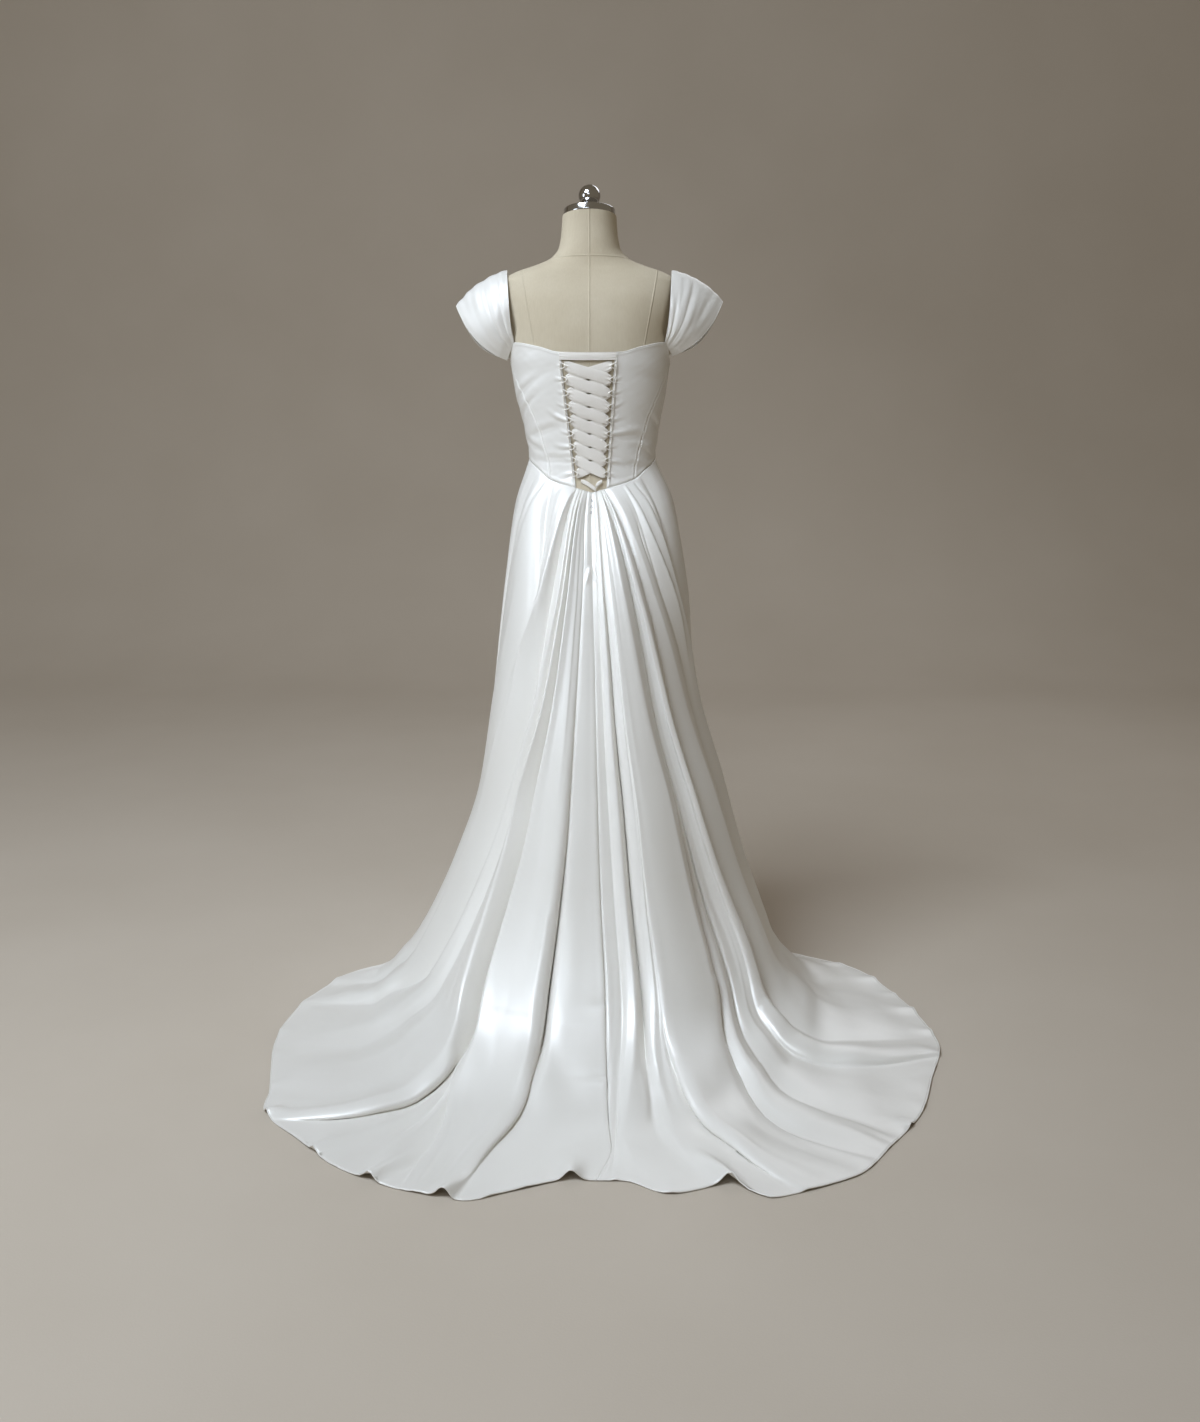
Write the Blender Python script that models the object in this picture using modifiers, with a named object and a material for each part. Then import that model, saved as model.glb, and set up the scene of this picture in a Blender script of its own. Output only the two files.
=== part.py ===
# Satin wedding dress with a lace-up back and a train, worn by a limbless dress form on a stand
# Metres, +Z up. The origin is the centre of the stand's underside. The back and the train face -Y.

import math

import bmesh
import bpy
import numpy as np
from mathutils import Matrix

# Driving sizes in metres
FIT_GAP = 0.0016
BODICE_WALL = 0.0015
SKIRT_WALL = 0.0012
SLEEVE_WALL = 0.0015
SEAM_GAP = 0.0008
WAIST_GAP = 0.0009
FORM_POWER = 2.2
BUST_SWELL = 0.016
FORM_SWELL = 0.0125
BUST_HEIGHT = 1.262
BUST_ANGLE = 143.0
NECK_TOP = 1.548
NECK_TILT = math.radians(15.0)
CAP_RADIUS = 0.0490
CAP_HEIGHT = 0.0150
BALL_RADIUS = 0.0210
STEM_RADIUS = 0.0085
STEM_HEIGHT = 0.0060
POST_RADIUS = 0.0160
BASE_RADIUS = 0.1700
BASE_HEIGHT = 0.0120
TORSO_BOTTOM = 0.790
KNOTS = 9
KNOT_TOP = 1.276
KNOT_PITCH = 0.0253
RIBBON_WIDTH = 0.0205
RIBBON_PINCH = 0.0080
RIBBON_WALL = 0.0010
RIBBON_LOW = 0.0043
RIBBON_TOP = 0.0060
BAR_WIDTH = 0.0125
LOOP_RADIUS = 0.0011
HOOK_SIZE = (0.0034, 0.0014, 0.0052)
HOOK_ANGLE = 0.4
SKIRT_ROWS = 25

# Skirt stations: 0 waist seam, 1 hip, 2 knee, 3 low, 4 where it meets the floor, 5 mid train, 6 hem
FLOOR_STATION = 4.0
HEM_STATION = 6.0

# Dress form: height, half width, front depth, back depth, centre x, centre y
FIGURE = np.array((
    (0.790, 0.100, 0.070, 0.070, 0.000, -0.005),
    (0.830, 0.138, 0.096, 0.104, 0.001, -0.005),
    (0.880, 0.149, 0.101, 0.114, 0.002, -0.005),
    (0.950, 0.145, 0.096, 0.110, 0.004, -0.002),
    (1.020, 0.131, 0.088, 0.096, 0.005, 0.000),
    (1.090, 0.121, 0.083, 0.083, 0.005, 0.000),
    (1.150, 0.128, 0.095, 0.086, 0.004, 0.000),
    (1.220, 0.143, 0.112, 0.093, 0.002, 0.000),
    (1.280, 0.1515, 0.118, 0.096, 0.001, 0.000),
    (1.340, 0.160, 0.105, 0.094, 0.000, 0.000),
    (1.400, 0.171, 0.082, 0.082, 0.000, 0.000),
    (1.432, 0.166, 0.062, 0.066, 0.000, 0.000),
    (1.448, 0.140, 0.052, 0.058, 0.000, 0.000),
    (1.460, 0.104, 0.050, 0.054, 0.000, 0.002),
    (1.473, 0.074, 0.050, 0.052, 0.000, 0.004),
    (1.492, 0.0585, 0.050, 0.050, 0.000, 0.006),
    (1.525, 0.0530, 0.048, 0.048, 0.000, 0.010),
    (1.548, 0.0515, 0.049, 0.049, 0.000, 0.012),
))

# Waist seam: degrees from centre back, height
WAIST_SEAM = np.array((
    (0, 1.039), (10, 1.046), (38, 1.062), (60, 1.083), (90, 1.095), (130, 1.090), (180, 1.078),
))

# Bodice top edge: degrees from centre back, height
TOP_EDGE = np.array((
    (0, 1.300), (20, 1.301), (35, 1.310), (58, 1.317), (66, 1.317), (76, 1.292), (90, 1.277),
    (104, 1.277), (118, 1.300), (130, 1.346), (146, 1.354), (162, 1.343), (180, 1.322),
))

# Princess seams: height, degrees of the back one, degrees of the front one
PRINCESS = np.array((
    (1.030, 36, 152), (1.060, 38, 151), (1.130, 46, 149), (1.184, 53, 146),
    (1.220, 61, 143), (1.262, 76, 139), (1.290, 86, 134), (1.360, 100, 130),
))

# Lace-up opening: height, left edge x, right edge x
OPENING = np.array((
    (1.040, -0.0265, 0.0330), (1.120, -0.0345, 0.0375), (1.200, -0.0440, 0.0425), (1.310, -0.0560, 0.0500),
))

# Skirt rings: station, height, left half width, right half width, back depth, front depth
RINGS = np.array((
    (0.00, 1.065, 0.121, 0.131, 0.086, 0.084),
    (0.35, 1.000, 0.147, 0.166, 0.124, 0.108),
    (1.00, 0.850, 0.167, 0.190, 0.198, 0.140),
    (1.50, 0.650, 0.188, 0.210, 0.258, 0.186),
    (2.00, 0.450, 0.213, 0.264, 0.315, 0.240),
    (2.50, 0.280, 0.268, 0.311, 0.368, 0.293),
    (3.00, 0.150, 0.325, 0.358, 0.435, 0.338),
    (3.50, 0.055, 0.375, 0.392, 0.515, 0.370),
    (4.00, 0.010, 0.408, 0.410, 0.600, 0.384),
))

# Where the skirt eases onto the floor: station, height
LANDING = np.array(((4.0, 0.0150), (4.4, 0.0050), (5.0, 0.0012), (6.0, 0.0000)))

# Hem on the floor: degrees from centre back, distance from the post's axis
HEM = np.array((
    (-180, 0.388), (-135, 0.392), (-114, 0.402), (-105, 0.416), (-97, 0.455), (-90, 0.520),
    (-82, 0.568), (-75, 0.612), (-62, 0.690), (-54, 0.735), (-48, 0.780), (-44, 0.826),
    (-36, 0.850), (-28, 0.885), (-20, 0.902), (-13, 0.905), (-8, 0.862), (-2, 0.822),
    (4, 0.826), (9, 0.874), (15, 0.862), (19, 0.925), (28, 0.922), (36, 0.878), (44, 0.842),
    (54, 0.785), (63, 0.755), (70, 0.710), (77, 0.662), (84, 0.622), (93, 0.572), (100, 0.502),
    (107, 0.447), (114, 0.415), (135, 0.394), (180, 0.388),
))

# Folds, in order round the skirt. Degrees from centre back at each station, then height in
# millimetres above (ridge) or below (dip) the skirt's mean surface at each station
FOLD_COLUMNS = ("waist", "hip", "thigh", "knee", "low", "floor", "mid", "hem",
                "up_hip", "up_knee", "up_low", "up_floor", "up_mid", "up_hem")
FOLDS = {
    "side_left_dip": (-56, -80, -88, -92, -96, -98, -97, -97, -4, -10, -12, 2, 0, 0),
    "side_left_ridge": (-46, -58, -72, -83, -89, -91, -91, -90, 5, 10, 12, 14, 10, 5),
    "pleat_left_dip": (-34, -36.5, -56, -73, -82, -86, -86, -84, -9, -14, -14, 2, 0, 0),
    "a_ridge": (-13, -32.5, -52, -66, -75, -79, -80, -78, 10, 17, 17, 18, 13, 6),
    "a_b_dip": (-11.5, -26, -36, -48, -63, -74.5, -76, -75, -6, -16, -18, 0, 0, 0),
    "b_ridge": (-9.6, -20, -31, -44, -57, -65, -66.5, -66, 6, 12, 12, 10, 6, 3),
    "b_dip": (-8.6, -18.5, -28, -40, -51, -58, -59, -57, 0, 2, 2, 1, 0, 0),
    "b_floor_ridge": (-7.6, -17, -25, -36, -39, -35, -36.9, -43, 6, 20, 28, 29, 22, 13),
    "left_valley": (-6.6, -15, -21, -29, -35, -32.2, -34.8, -41, -14, -30, -34, 0, 0, 0),
    "f1_ridge": (-6.4, -14.6, -20.6, -28.4, -34.2, -31.4, -31.2, -32.3, -8, -20, -22, 3, 9, 10),
    "f2_dip": (-5.8, -13.6, -19.3, -26.8, -32.2, -29.6, -22.4, -20, 6, 13, 15, 1, 0, 0),
    "c_ridge": (-5.4, -13, -18.5, -26, -31, -28.4, -20.9, -18.4, 10, 20, 22, 16, 10, 3),
    "c_edge_ridge": (-3.3, -7.8, -10.8, -13, -14.6, -14.4, -16, -15.4, 3, 12, 16, 15, 14, 12),
    "c_d_dip": (-3, -7, -9.5, -11, -12, -12.2, -13.8, -13.2, -10, -20, -22, 0, 0, 0),
    "d_ridge": (-1.5, -4, -6.5, -8, -8.6, -7.5, -6.5, -4, 0, 1, 2, 4, 4, 9),
    "centre_seam": (0, 2, 3, 3, 3.6, 3.4, 3.3, 1, -3, -5, -4, 1, 2, 4),
    "r0_dip": (1.2, 5, 7, 7.5, 8, 5.6, 4.0, 2.4, -3, -8, -8, 0, 0, 0),
    "r0_ridge": (2.2, 7.5, 10, 11, 11.2, 8.2, 5.3, 6, 4, 5, 7, 8, 7, 3),
    "r1_dip": (3.3, 10, 13, 14, 14, 12.2, 11.0, 12.4, -8, -15, -17, 0, 0, 0),
    "r1_arch": (3.9, 12, 15.5, 16.5, 16.2, 15.0, 14.4, 15.7, 6, 13, 15, 8, 8, 14),
    "r1_ridge": (4.4, 14, 18, 20, 20.5, 21.0, 22.2, 24, 8, 18, 20, 22, 17, 5),
    "r2_edge": (5.6, 19, 27, 32, 35, 31.6, 27.5, 29.5, 10, 20, 20, 16, 6, 3),
    "r2_dip": (6.4, 22, 30, 35.5, 37.5, 32.8, 29.8, 33, -12, -24, -24, 0, 0, 0),
    "r2_floor_ridge": (7.0, 25, 34, 40, 42, 36.6, 34.8, 35.5, -4, -7, 4, 20, 16, 8),
    "r3_dip": (7.5, 27.5, 37, 43, 46.5, 41.0, 38.0, 38.2, -8, -16, -10, 1, 0, 0),
    "r3_ridge": (8.0, 29, 40, 46, 55, 54.5, 57.2, 62, 9, 19, 22, 27, 22, 9),
    "r3_r4_dip": (9, 31.5, 45, 51, 61, 60, 63, 66, -12, -22, -22, 0, 0, 0),
    "r4_ridge": (14, 40, 57, 64, 72, 74, 73, 74.5, 5, 9, 13, 22, 16, 6),
    "r4_dip": (24, 47, 70, 76, 82, 86, 86.5, 87, -6, -10, -10, 0, 0, 0),
    "pleat_right_ridge": (38, 54, 84, 88, 92, 98, 97, 97, 7, 8, 8, 10, 8, 4),
    "pleat_right_dip": (46, 60, 92, 98, 100, 104, 104, 104, -8, -7, -7, 0, 0, 0),
    "side_right_ridge": (62, 84, 100, 104, 107, 110, 110, 110, 3, 6, 8, 6, 4, 4),
}

# Front folds: degrees from centre back at the waist, degrees at the floor, height in millimetres
FRONT_FOLDS = (
    (80, 119, -7), (96, 128, 9), (112, 137, -9), (128, 146, 12), (144, 156, -10), (160, 166, 9),
    (176, 177, -8), (192, 189, 11), (208, 200, -9), (224, 212, 10), (240, 222, -11), (256, 232, 12),
    (272, 242, -8), (288, 252, 8),
)

# Cap sleeve, left one: fraction from back to front, inner edge x y z, outer edge x y z, puff
SLEEVE = np.array((
    (0.00, -0.144, -0.048, 1.3195, -0.1585, -0.022, 1.2845, 0.000),
    (0.12, -0.149, -0.054, 1.3420, -0.1750, -0.034, 1.2925, 0.006),
    (0.25, -0.152, -0.055, 1.3740, -0.2025, -0.037, 1.3105, 0.011),
    (0.38, -0.155, -0.041, 1.4200, -0.2345, -0.027, 1.3460, 0.013),
    (0.50, -0.158, -0.002, 1.4500, -0.2550, 0.000, 1.3850, 0.010),
    (0.62, -0.155, 0.040, 1.4240, -0.2400, 0.030, 1.3450, 0.013),
    (0.75, -0.148, 0.060, 1.3960, -0.2120, 0.046, 1.3060, 0.011),
    (0.88, -0.138, 0.071, 1.3700, -0.1820, 0.050, 1.2900, 0.006),
    (1.00, -0.129, 0.076, 1.3500, -0.1560, 0.048, 1.2850, 0.000),
))

# Materials: colour, roughness, metallic
LOOKS = {
    "satin": ((0.86, 0.86, 0.84), 0.32, 0.0),
    "linen": ((0.74, 0.68, 0.56), 0.85, 0.0),
    "chrome": ((0.62, 0.62, 0.63), 0.12, 1.0),
    "steel": ((0.30, 0.30, 0.31), 0.35, 1.0),
}


def clear_scene():
    for item in list(bpy.data.objects):
        bpy.data.objects.remove(item, do_unlink=True)


def make_materials():
    made = {}
    for name, (colour, roughness, metallic) in LOOKS.items():
        material = bpy.data.materials.new(name)
        material.use_nodes = True
        shader = material.node_tree.nodes["Principled BSDF"]
        shader.inputs["Base Color"].default_value = (*colour, 1.0)
        shader.inputs["Roughness"].default_value = roughness
        shader.inputs["Metallic"].default_value = metallic
        made[name] = material
    return made


def slopes(xs, ys):
    # Slopes of a smooth curve through table values that never overshoots them
    step = np.diff(xs)
    rise = np.diff(ys, axis=0) / step.reshape((-1,) + (1,) * (ys.ndim - 1))
    slope = np.zeros_like(ys)
    before = rise[:-1]
    after = rise[1:]
    shape = (-1,) + (1,) * (ys.ndim - 1)
    w1 = (2 * step[1:] + step[:-1]).reshape(shape)
    w2 = (step[1:] + 2 * step[:-1]).reshape(shape)
    same_way = before * after > 0
    safe_before = np.where(same_way, before, 1)
    safe_after = np.where(same_way, after, 1)
    inner = (w1 + w2) / (w1 / safe_before + w2 / safe_after)
    slope[1:-1] = np.where(same_way, inner, 0)
    slope[0] = rise[0]
    slope[-1] = rise[-1]
    return slope


def smooth(xs, ys, x):
    # Smooth table lookup, at any shape of x, of a table with one value in each row
    xs = np.asarray(xs, float)
    ys = np.asarray(ys, float)
    x = np.asarray(x, float)
    slope = slopes(xs, ys)
    i = np.clip(np.searchsorted(xs, x, side="right") - 1, 0, len(xs) - 2)
    step = xs[i + 1] - xs[i]
    t = np.clip((x - xs[i]) / step, 0, 1)
    start = (2 * t ** 3 - 3 * t ** 2 + 1) * ys[i] + (t ** 3 - 2 * t ** 2 + t) * step * slope[i]
    end = (3 * t ** 2 - 2 * t ** 3) * ys[i + 1] + (t ** 3 - t ** 2) * step * slope[i + 1]
    return start + end


def ease(t):
    t = np.clip(t, 0, 1)
    return t * t * (3 - 2 * t)


def signed_power(value, power):
    return np.sign(value) * np.abs(value) ** power


def figure_point(angle, height, out=0.0, bust=BUST_SWELL):
    # Point on the dress form, or out metres off it; angle is in degrees from centre back
    angle = np.asarray(angle, float)
    height = np.asarray(height, float)
    width, front, back, centre_x, centre_y = (smooth(FIGURE[:, 0], FIGURE[:, k], height) for k in range(1, 6))
    turn = np.radians(angle)
    depth = np.where(np.cos(turn) > 0, back, front) + out
    wrapped = np.abs((angle + 180.0) % 360.0 - 180.0)
    swell = bust * np.exp(-((wrapped - BUST_ANGLE) / 24.0) ** 2)
    swell = 1 + swell * np.exp(-((height - BUST_HEIGHT) / 0.055) ** 2) / 0.12
    x = centre_x + (width + out) * signed_power(np.sin(turn), 2 / FORM_POWER) * swell
    y = centre_y - depth * signed_power(np.cos(turn), 2 / FORM_POWER) * swell
    return np.stack(np.broadcast_arrays(x, y, height), -1)


def angle_at(x, height, out):
    # Degrees from centre back of the point of the back that lies x metres from the axis
    width = smooth(FIGURE[:, 0], FIGURE[:, 1], height) + out
    centre_x = smooth(FIGURE[:, 0], FIGURE[:, 4], height)
    return np.degrees(np.arcsin(signed_power((x - centre_x) / width, FORM_POWER / 2)))


def waist_height(angle):
    return smooth(WAIST_SEAM[:, 0], WAIST_SEAM[:, 1], np.abs((np.asarray(angle) + 180.0) % 360.0 - 180.0))


def top_height(angle):
    return smooth(TOP_EDGE[:, 0], TOP_EDGE[:, 1], np.abs((np.asarray(angle) + 180.0) % 360.0 - 180.0))


def add_grid(name, points, material, collection, wall=0.0, side=1.0, close=False):
    # Open sheet through rows of points, thickened to a wall on the side its faces look to
    rows, columns = points.shape[:2]
    build = bmesh.new()
    vertices = [[build.verts.new(points[r, c]) for c in range(columns)] for r in range(rows)]
    last = columns if close else columns - 1
    for r in range(rows - 1):
        for c in range(last):
            n = (c + 1) % columns
            build.faces.new((vertices[r][c], vertices[r][n], vertices[r + 1][n], vertices[r + 1][c]))
    return finish_mesh(name, build, material, collection, wall, side)


def finish_mesh(name, build, material, collection, wall=0.0, side=1.0):
    build.normal_update()
    for face in build.faces:
        face.smooth = True
    mesh = bpy.data.meshes.new(name)
    build.to_mesh(mesh)
    build.free()
    mesh.materials.append(material)
    item = bpy.data.objects.new(name, mesh)
    collection.objects.link(item)
    if wall > 0:
        shell = item.modifiers.new("Wall", "SOLIDIFY")
        shell.thickness = wall
        shell.offset = side
        shell.use_even_offset = False
    return item


def loft_closed(name, rings, material, collection):
    # Closed body lofted through unlike rings, with a fan of faces over each end
    count = rings.shape[1]
    build = bmesh.new()
    vertices = [[build.verts.new(point) for point in ring] for ring in rings]
    for lower, upper in zip(vertices[:-1], vertices[1:]):
        for c in range(count):
            n = (c + 1) % count
            build.faces.new((lower[c], lower[n], upper[n], upper[c]))
    foot = build.verts.new(rings[0].mean(axis=0))
    crown = build.verts.new(rings[-1].mean(axis=0))
    for c in range(count):
        n = (c + 1) % count
        build.faces.new((vertices[0][n], vertices[0][c], foot))
        build.faces.new((vertices[-1][c], vertices[-1][n], crown))
    return finish_mesh(name, build, material, collection)


def add_turned(name, profile, material, collection, steps):
    # Turned shape: an outline run down its outer side, spun round the local Z axis
    build = bmesh.new()
    made = [build.verts.new((radius, 0, height)) for radius, height in profile]
    for first, second in zip(made[:-1], made[1:]):
        build.edges.new((first, second))
    mesh = bpy.data.meshes.new(name)
    build.to_mesh(mesh)
    build.free()
    mesh.materials.append(material)
    item = bpy.data.objects.new(name, mesh)
    collection.objects.link(item)
    spin = item.modifiers.new("Spin", "SCREW")
    spin.steps = steps
    spin.render_steps = steps
    spin.use_merge_vertices = True
    spin.merge_threshold = 0.00005
    spin.use_smooth_shade = True
    return item


def build_form(looks, collection):
    # Torso and neck in one smooth body, then cap, finial, post and base
    angles = np.linspace(-180, 180, 33)[:-1]
    heights = (0.790, 0.808, 0.845, 0.900, 0.960, 1.020, 1.060, 1.090, 1.115, 1.145, 1.195, 1.240,
               1.280, 1.320, 1.360, 1.400, 1.425, 1.438, 1.450, 1.462, 1.476, 1.494, 1.522, NECK_TOP)
    rings = []
    for height in heights:
        ring = figure_point(angles, np.full(angles.shape, height), 0.0, FORM_SWELL)
        lean = math.tan(NECK_TILT) * smooth((0.7, 1.462, NECK_TOP), (0, 0, 1), height)
        ring[:, 2] -= lean * (ring[:, 1] - 0.012)
        rings.append(ring)
    loft_closed("form_torso", np.array(rings), looks["linen"], collection)
    low = CAP_RADIUS - 0.003
    cap = ((0, CAP_HEIGHT), (low, CAP_HEIGHT), (CAP_RADIUS, CAP_HEIGHT - 0.002), (CAP_RADIUS, 0.002),
           (low, 0), (0, 0))
    place_on_neck(add_turned("neck_cap", cap, looks["chrome"], collection, 24), 0.0006)
    middle = STEM_HEIGHT + BALL_RADIUS * 0.93
    arc = [(BALL_RADIUS * math.sin(math.radians(a)), middle + BALL_RADIUS * math.cos(math.radians(a)))
           for a in range(0, 157, 18)]
    stem = arc + [(STEM_RADIUS, STEM_HEIGHT), (STEM_RADIUS * 1.5, 0.0015), (STEM_RADIUS * 1.5, 0), (0, 0)]
    place_on_neck(add_turned("finial", stem, looks["chrome"], collection, 18), CAP_HEIGHT + 0.0009)
    top = TORSO_BOTTOM - 0.0008
    bpy.ops.mesh.primitive_cylinder_add(vertices=20, radius=POST_RADIUS, depth=top - BASE_HEIGHT - 0.0004)
    name_primitive("stand_post", (0, 0, (top + BASE_HEIGHT + 0.0004) / 2), looks["chrome"], collection)
    plate = ((0, BASE_HEIGHT), (BASE_RADIUS - 0.02, BASE_HEIGHT), (BASE_RADIUS, BASE_HEIGHT * 0.5),
             (BASE_RADIUS, 0), (0, 0))
    add_turned("stand_base", plate, looks["steel"], collection, 32)


def place_on_neck(item, along):
    # Parts above the neck share its forward tilt
    item.rotation_euler = (-NECK_TILT, 0, 0)
    item.location = (0, 0.012 + along * math.sin(NECK_TILT), NECK_TOP + along * math.cos(NECK_TILT))


def name_primitive(name, location, material, collection):
    item = bpy.context.object
    item.name = name
    item.data.name = name
    item.location = location
    item.data.materials.append(material)
    for owner in list(item.users_collection):
        owner.objects.unlink(item)
    collection.objects.link(item)
    item.data.shade_smooth()
    item.data.set_sharp_from_angle(angle=math.radians(40))
    return item


def back_princess(height):
    return smooth(PRINCESS[:, 0], PRINCESS[:, 1], height)


def front_princess(height):
    return smooth(PRINCESS[:, 0], PRINCESS[:, 2], height)


def opening_left(height):
    return angle_at(smooth(OPENING[:, 0], OPENING[:, 1], height), height, FIT_GAP)


def opening_right(height):
    return angle_at(smooth(OPENING[:, 0], OPENING[:, 2], height), height, FIT_GAP)


def bodice_panel(first, second, rows, columns, out=FIT_GAP, inset=True):
    # Points of a panel between two seams given as functions of height
    across = np.linspace(0, 1, columns)[None, :]
    up = np.linspace(0, 1, rows)[:, None]
    height = np.full((rows, columns), 1.18)
    half_gap = math.degrees(SEAM_GAP * 0.5 / 0.125) if inset else 0.0
    for _ in range(12):
        low = first(height) + half_gap
        high = second(height) - half_gap
        angle = low * (1 - across) + high * across
        height = (waist_height(angle) + WAIST_GAP) * (1 - up) + top_height(angle) * up
    return figure_point(angle, height, out)


def build_bodice(looks, collection):
    def side_seam(height):
        return 96.0 + 0.0 * height

    def minus(function):
        return lambda height: -function(height)

    panels = (
        ("bodice_back_left", minus(back_princess), opening_left, 9, 9),
        ("bodice_back_right", opening_right, back_princess, 9, 9),
        ("bodice_side_back_left", minus(side_seam), minus(back_princess), 9, 5),
        ("bodice_side_back_right", back_princess, side_seam, 9, 5),
        ("bodice_side_front_left", minus(front_princess), minus(side_seam), 12, 7),
        ("bodice_side_front_right", side_seam, front_princess, 12, 7),
        ("bodice_front", front_princess, lambda height: 360.0 - front_princess(height), 13, 12),
    )
    for name, first, second, rows, columns in panels:
        points = bodice_panel(first, second, rows, columns)
        add_grid(name, points, looks["satin"], collection, BODICE_WALL, 1.0)


def sleeve_points(along, across, mirror):
    # Cap sleeve: along runs from the back up over the shoulder to the front, across goes outwards
    inner = np.stack([smooth(SLEEVE[:, 0], SLEEVE[:, k], along) for k in (1, 2, 3)], -1)
    outer = np.stack([smooth(SLEEVE[:, 0], SLEEVE[:, k], along) for k in (4, 5, 6)], -1)
    puff = smooth(SLEEVE[:, 0], SLEEVE[:, 7], along)
    span = outer - inner
    heading = np.stack([span[..., 2], np.zeros(span.shape[:-1]), -span[..., 0]], -1)
    heading = heading / np.linalg.norm(heading, axis=-1, keepdims=True)
    fore = (along - 0.5) * 2.4
    face = heading * np.cos(fore)[..., None]
    face[..., 1] += np.sin(fore)
    ends = np.sin(np.pi * along) ** 0.7
    wave = 0.0030 * np.sin(2 * np.pi * (2.4 * across ** 0.8 + 0.3)) * ends * np.abs(np.cos(np.pi * along)) ** 0.5
    bulge = puff * np.sin(np.pi * across) ** 0.8 + wave
    points = inner + span * across[..., None] + face * bulge[..., None]
    points[..., 0] *= mirror
    points[..., 2] += 0.008 * (mirror < 0) * across
    return points


def build_sleeves(looks, collection):
    along, across = np.meshgrid(np.linspace(0, 1, 13), np.linspace(0, 1, 8), indexing="ij")
    left = sleeve_points(along, across, 1.0)
    right = sleeve_points(along, across, -1.0)
    add_grid("sleeve_left", left, looks["satin"], collection, SLEEVE_WALL, 1.0)
    add_grid("sleeve_right", right[:, ::-1], looks["satin"], collection, SLEEVE_WALL, 1.0)


def knot_height(index):
    return KNOT_TOP - KNOT_PITCH * index


def knot_x(index, right):
    # Loops hold the ribbon a few millimetres inside the opening's edges
    edge = smooth(OPENING[:, 0], OPENING[:, 2 if right else 1], knot_height(index))
    return edge - 0.0068 if right else edge + 0.0068


def back_point(x, height, out):
    return figure_point(angle_at(x, height, out), height, out)


def lace_path(start_right):
    # One ribbon down the back: each run crosses over or under, then turns round in its loop
    path = []
    right = start_right
    over = not start_right
    for run in range(KNOTS - 1):
        x0, x1 = knot_x(run, right), knot_x(run + 1, not right)
        z0, z1 = knot_height(run), knot_height(run + 1)
        layer = RIBBON_TOP if over else RIBBON_LOW
        for t in np.linspace(0, 1, 7):
            width = RIBBON_PINCH + (RIBBON_WIDTH - RIBBON_PINCH) * math.sin(math.pi * t) ** 0.6
            path.append((x0 + (x1 - x0) * t, z0 + (z1 - z0) * t, layer, width))
        if run < KNOTS - 2:
            turn = (RIBBON_TOP - RIBBON_LOW) / 2
            outwards = turn if not right else -turn
            path.append((x1 + outwards, z1, (RIBBON_TOP + RIBBON_LOW) / 2, RIBBON_PINCH))
        right = not right
        over = not over
    return path


def ribbon_points(path):
    rows = []
    for x, height, out, width in path:
        rows.append([back_point(x, height + width * k, out) for k in (-0.5, 0.5)])
    return np.array(rows)


def build_lacing(looks, collection):
    for name, start_right in (("lace_ribbon_a", False), ("lace_ribbon_b", True)):
        points = ribbon_points(lace_path(start_right))
        add_grid(name, points, looks["satin"], collection, RIBBON_WALL, 0.0)
    bar_z = 1.2955
    ends = [smooth(OPENING[:, 0], OPENING[:, k], bar_z) for k in (1, 2)]
    bar = [(x, bar_z, RIBBON_LOW, BAR_WIDTH) for x in np.linspace(ends[0] - 0.002, ends[1] + 0.002, 9)]
    add_grid("lace_top_bar", ribbon_points(bar), looks["satin"], collection, RIBBON_WALL, 0.0)
    tails = (
        ("lace_tail_left", ((-0.0165, 1.0600), (-0.0060, 1.0560), (0.0050, 1.0490), (0.0120, 1.0440)), 0.0085),
        ("lace_tail_right", ((0.0240, 1.0600), (0.0160, 1.0545), (0.0120, 1.0500)), 0.0080),
    )
    for (name, places, width), layer in zip(tails, (RIBBON_LOW, RIBBON_TOP)):
        path = [(x, z, layer, width) for x, z in places]
        add_grid(name, ribbon_points(path), looks["satin"], collection, RIBBON_WALL, 0.0)
    for name, right in (("lace_loops_left", False), ("lace_loops_right", True)):
        add_loops(name, right, looks["satin"], collection)


def add_loops(name, right, material, collection):
    # A cord on the opening's edge that leaves it at each knot and passes over the ribbon
    sign = 1.0 if right else -1.0
    points = []
    for index in range(KNOTS):
        middle = knot_height(index)
        edge = smooth(OPENING[:, 0], OPENING[:, 2 if right else 1], middle) + sign * 0.0032
        tip = knot_x(index, right) + sign * 0.0004
        for z, x, out in ((0.0105, edge, 0.0054), (0.0058, edge, 0.0054), (0.0030, (edge + tip) / 2, 0.0082),
                          (0.0, tip, 0.0086), (-0.0030, (edge + tip) / 2, 0.0082), (-0.0058, edge, 0.0054)):
            points.append(back_point(x, middle + z, out))
    cord = bpy.data.curves.new(name, "CURVE")
    cord.dimensions = "3D"
    cord.bevel_depth = LOOP_RADIUS
    cord.bevel_resolution = 0
    cord.use_fill_caps = True
    line = cord.splines.new("POLY")
    line.points.add(len(points) - 1)
    for target, point in zip(line.points, points):
        target.co = (*point, 1.0)
    cord.materials.append(material)
    item = bpy.data.objects.new(name, cord)
    collection.objects.link(item)
    return item


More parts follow.
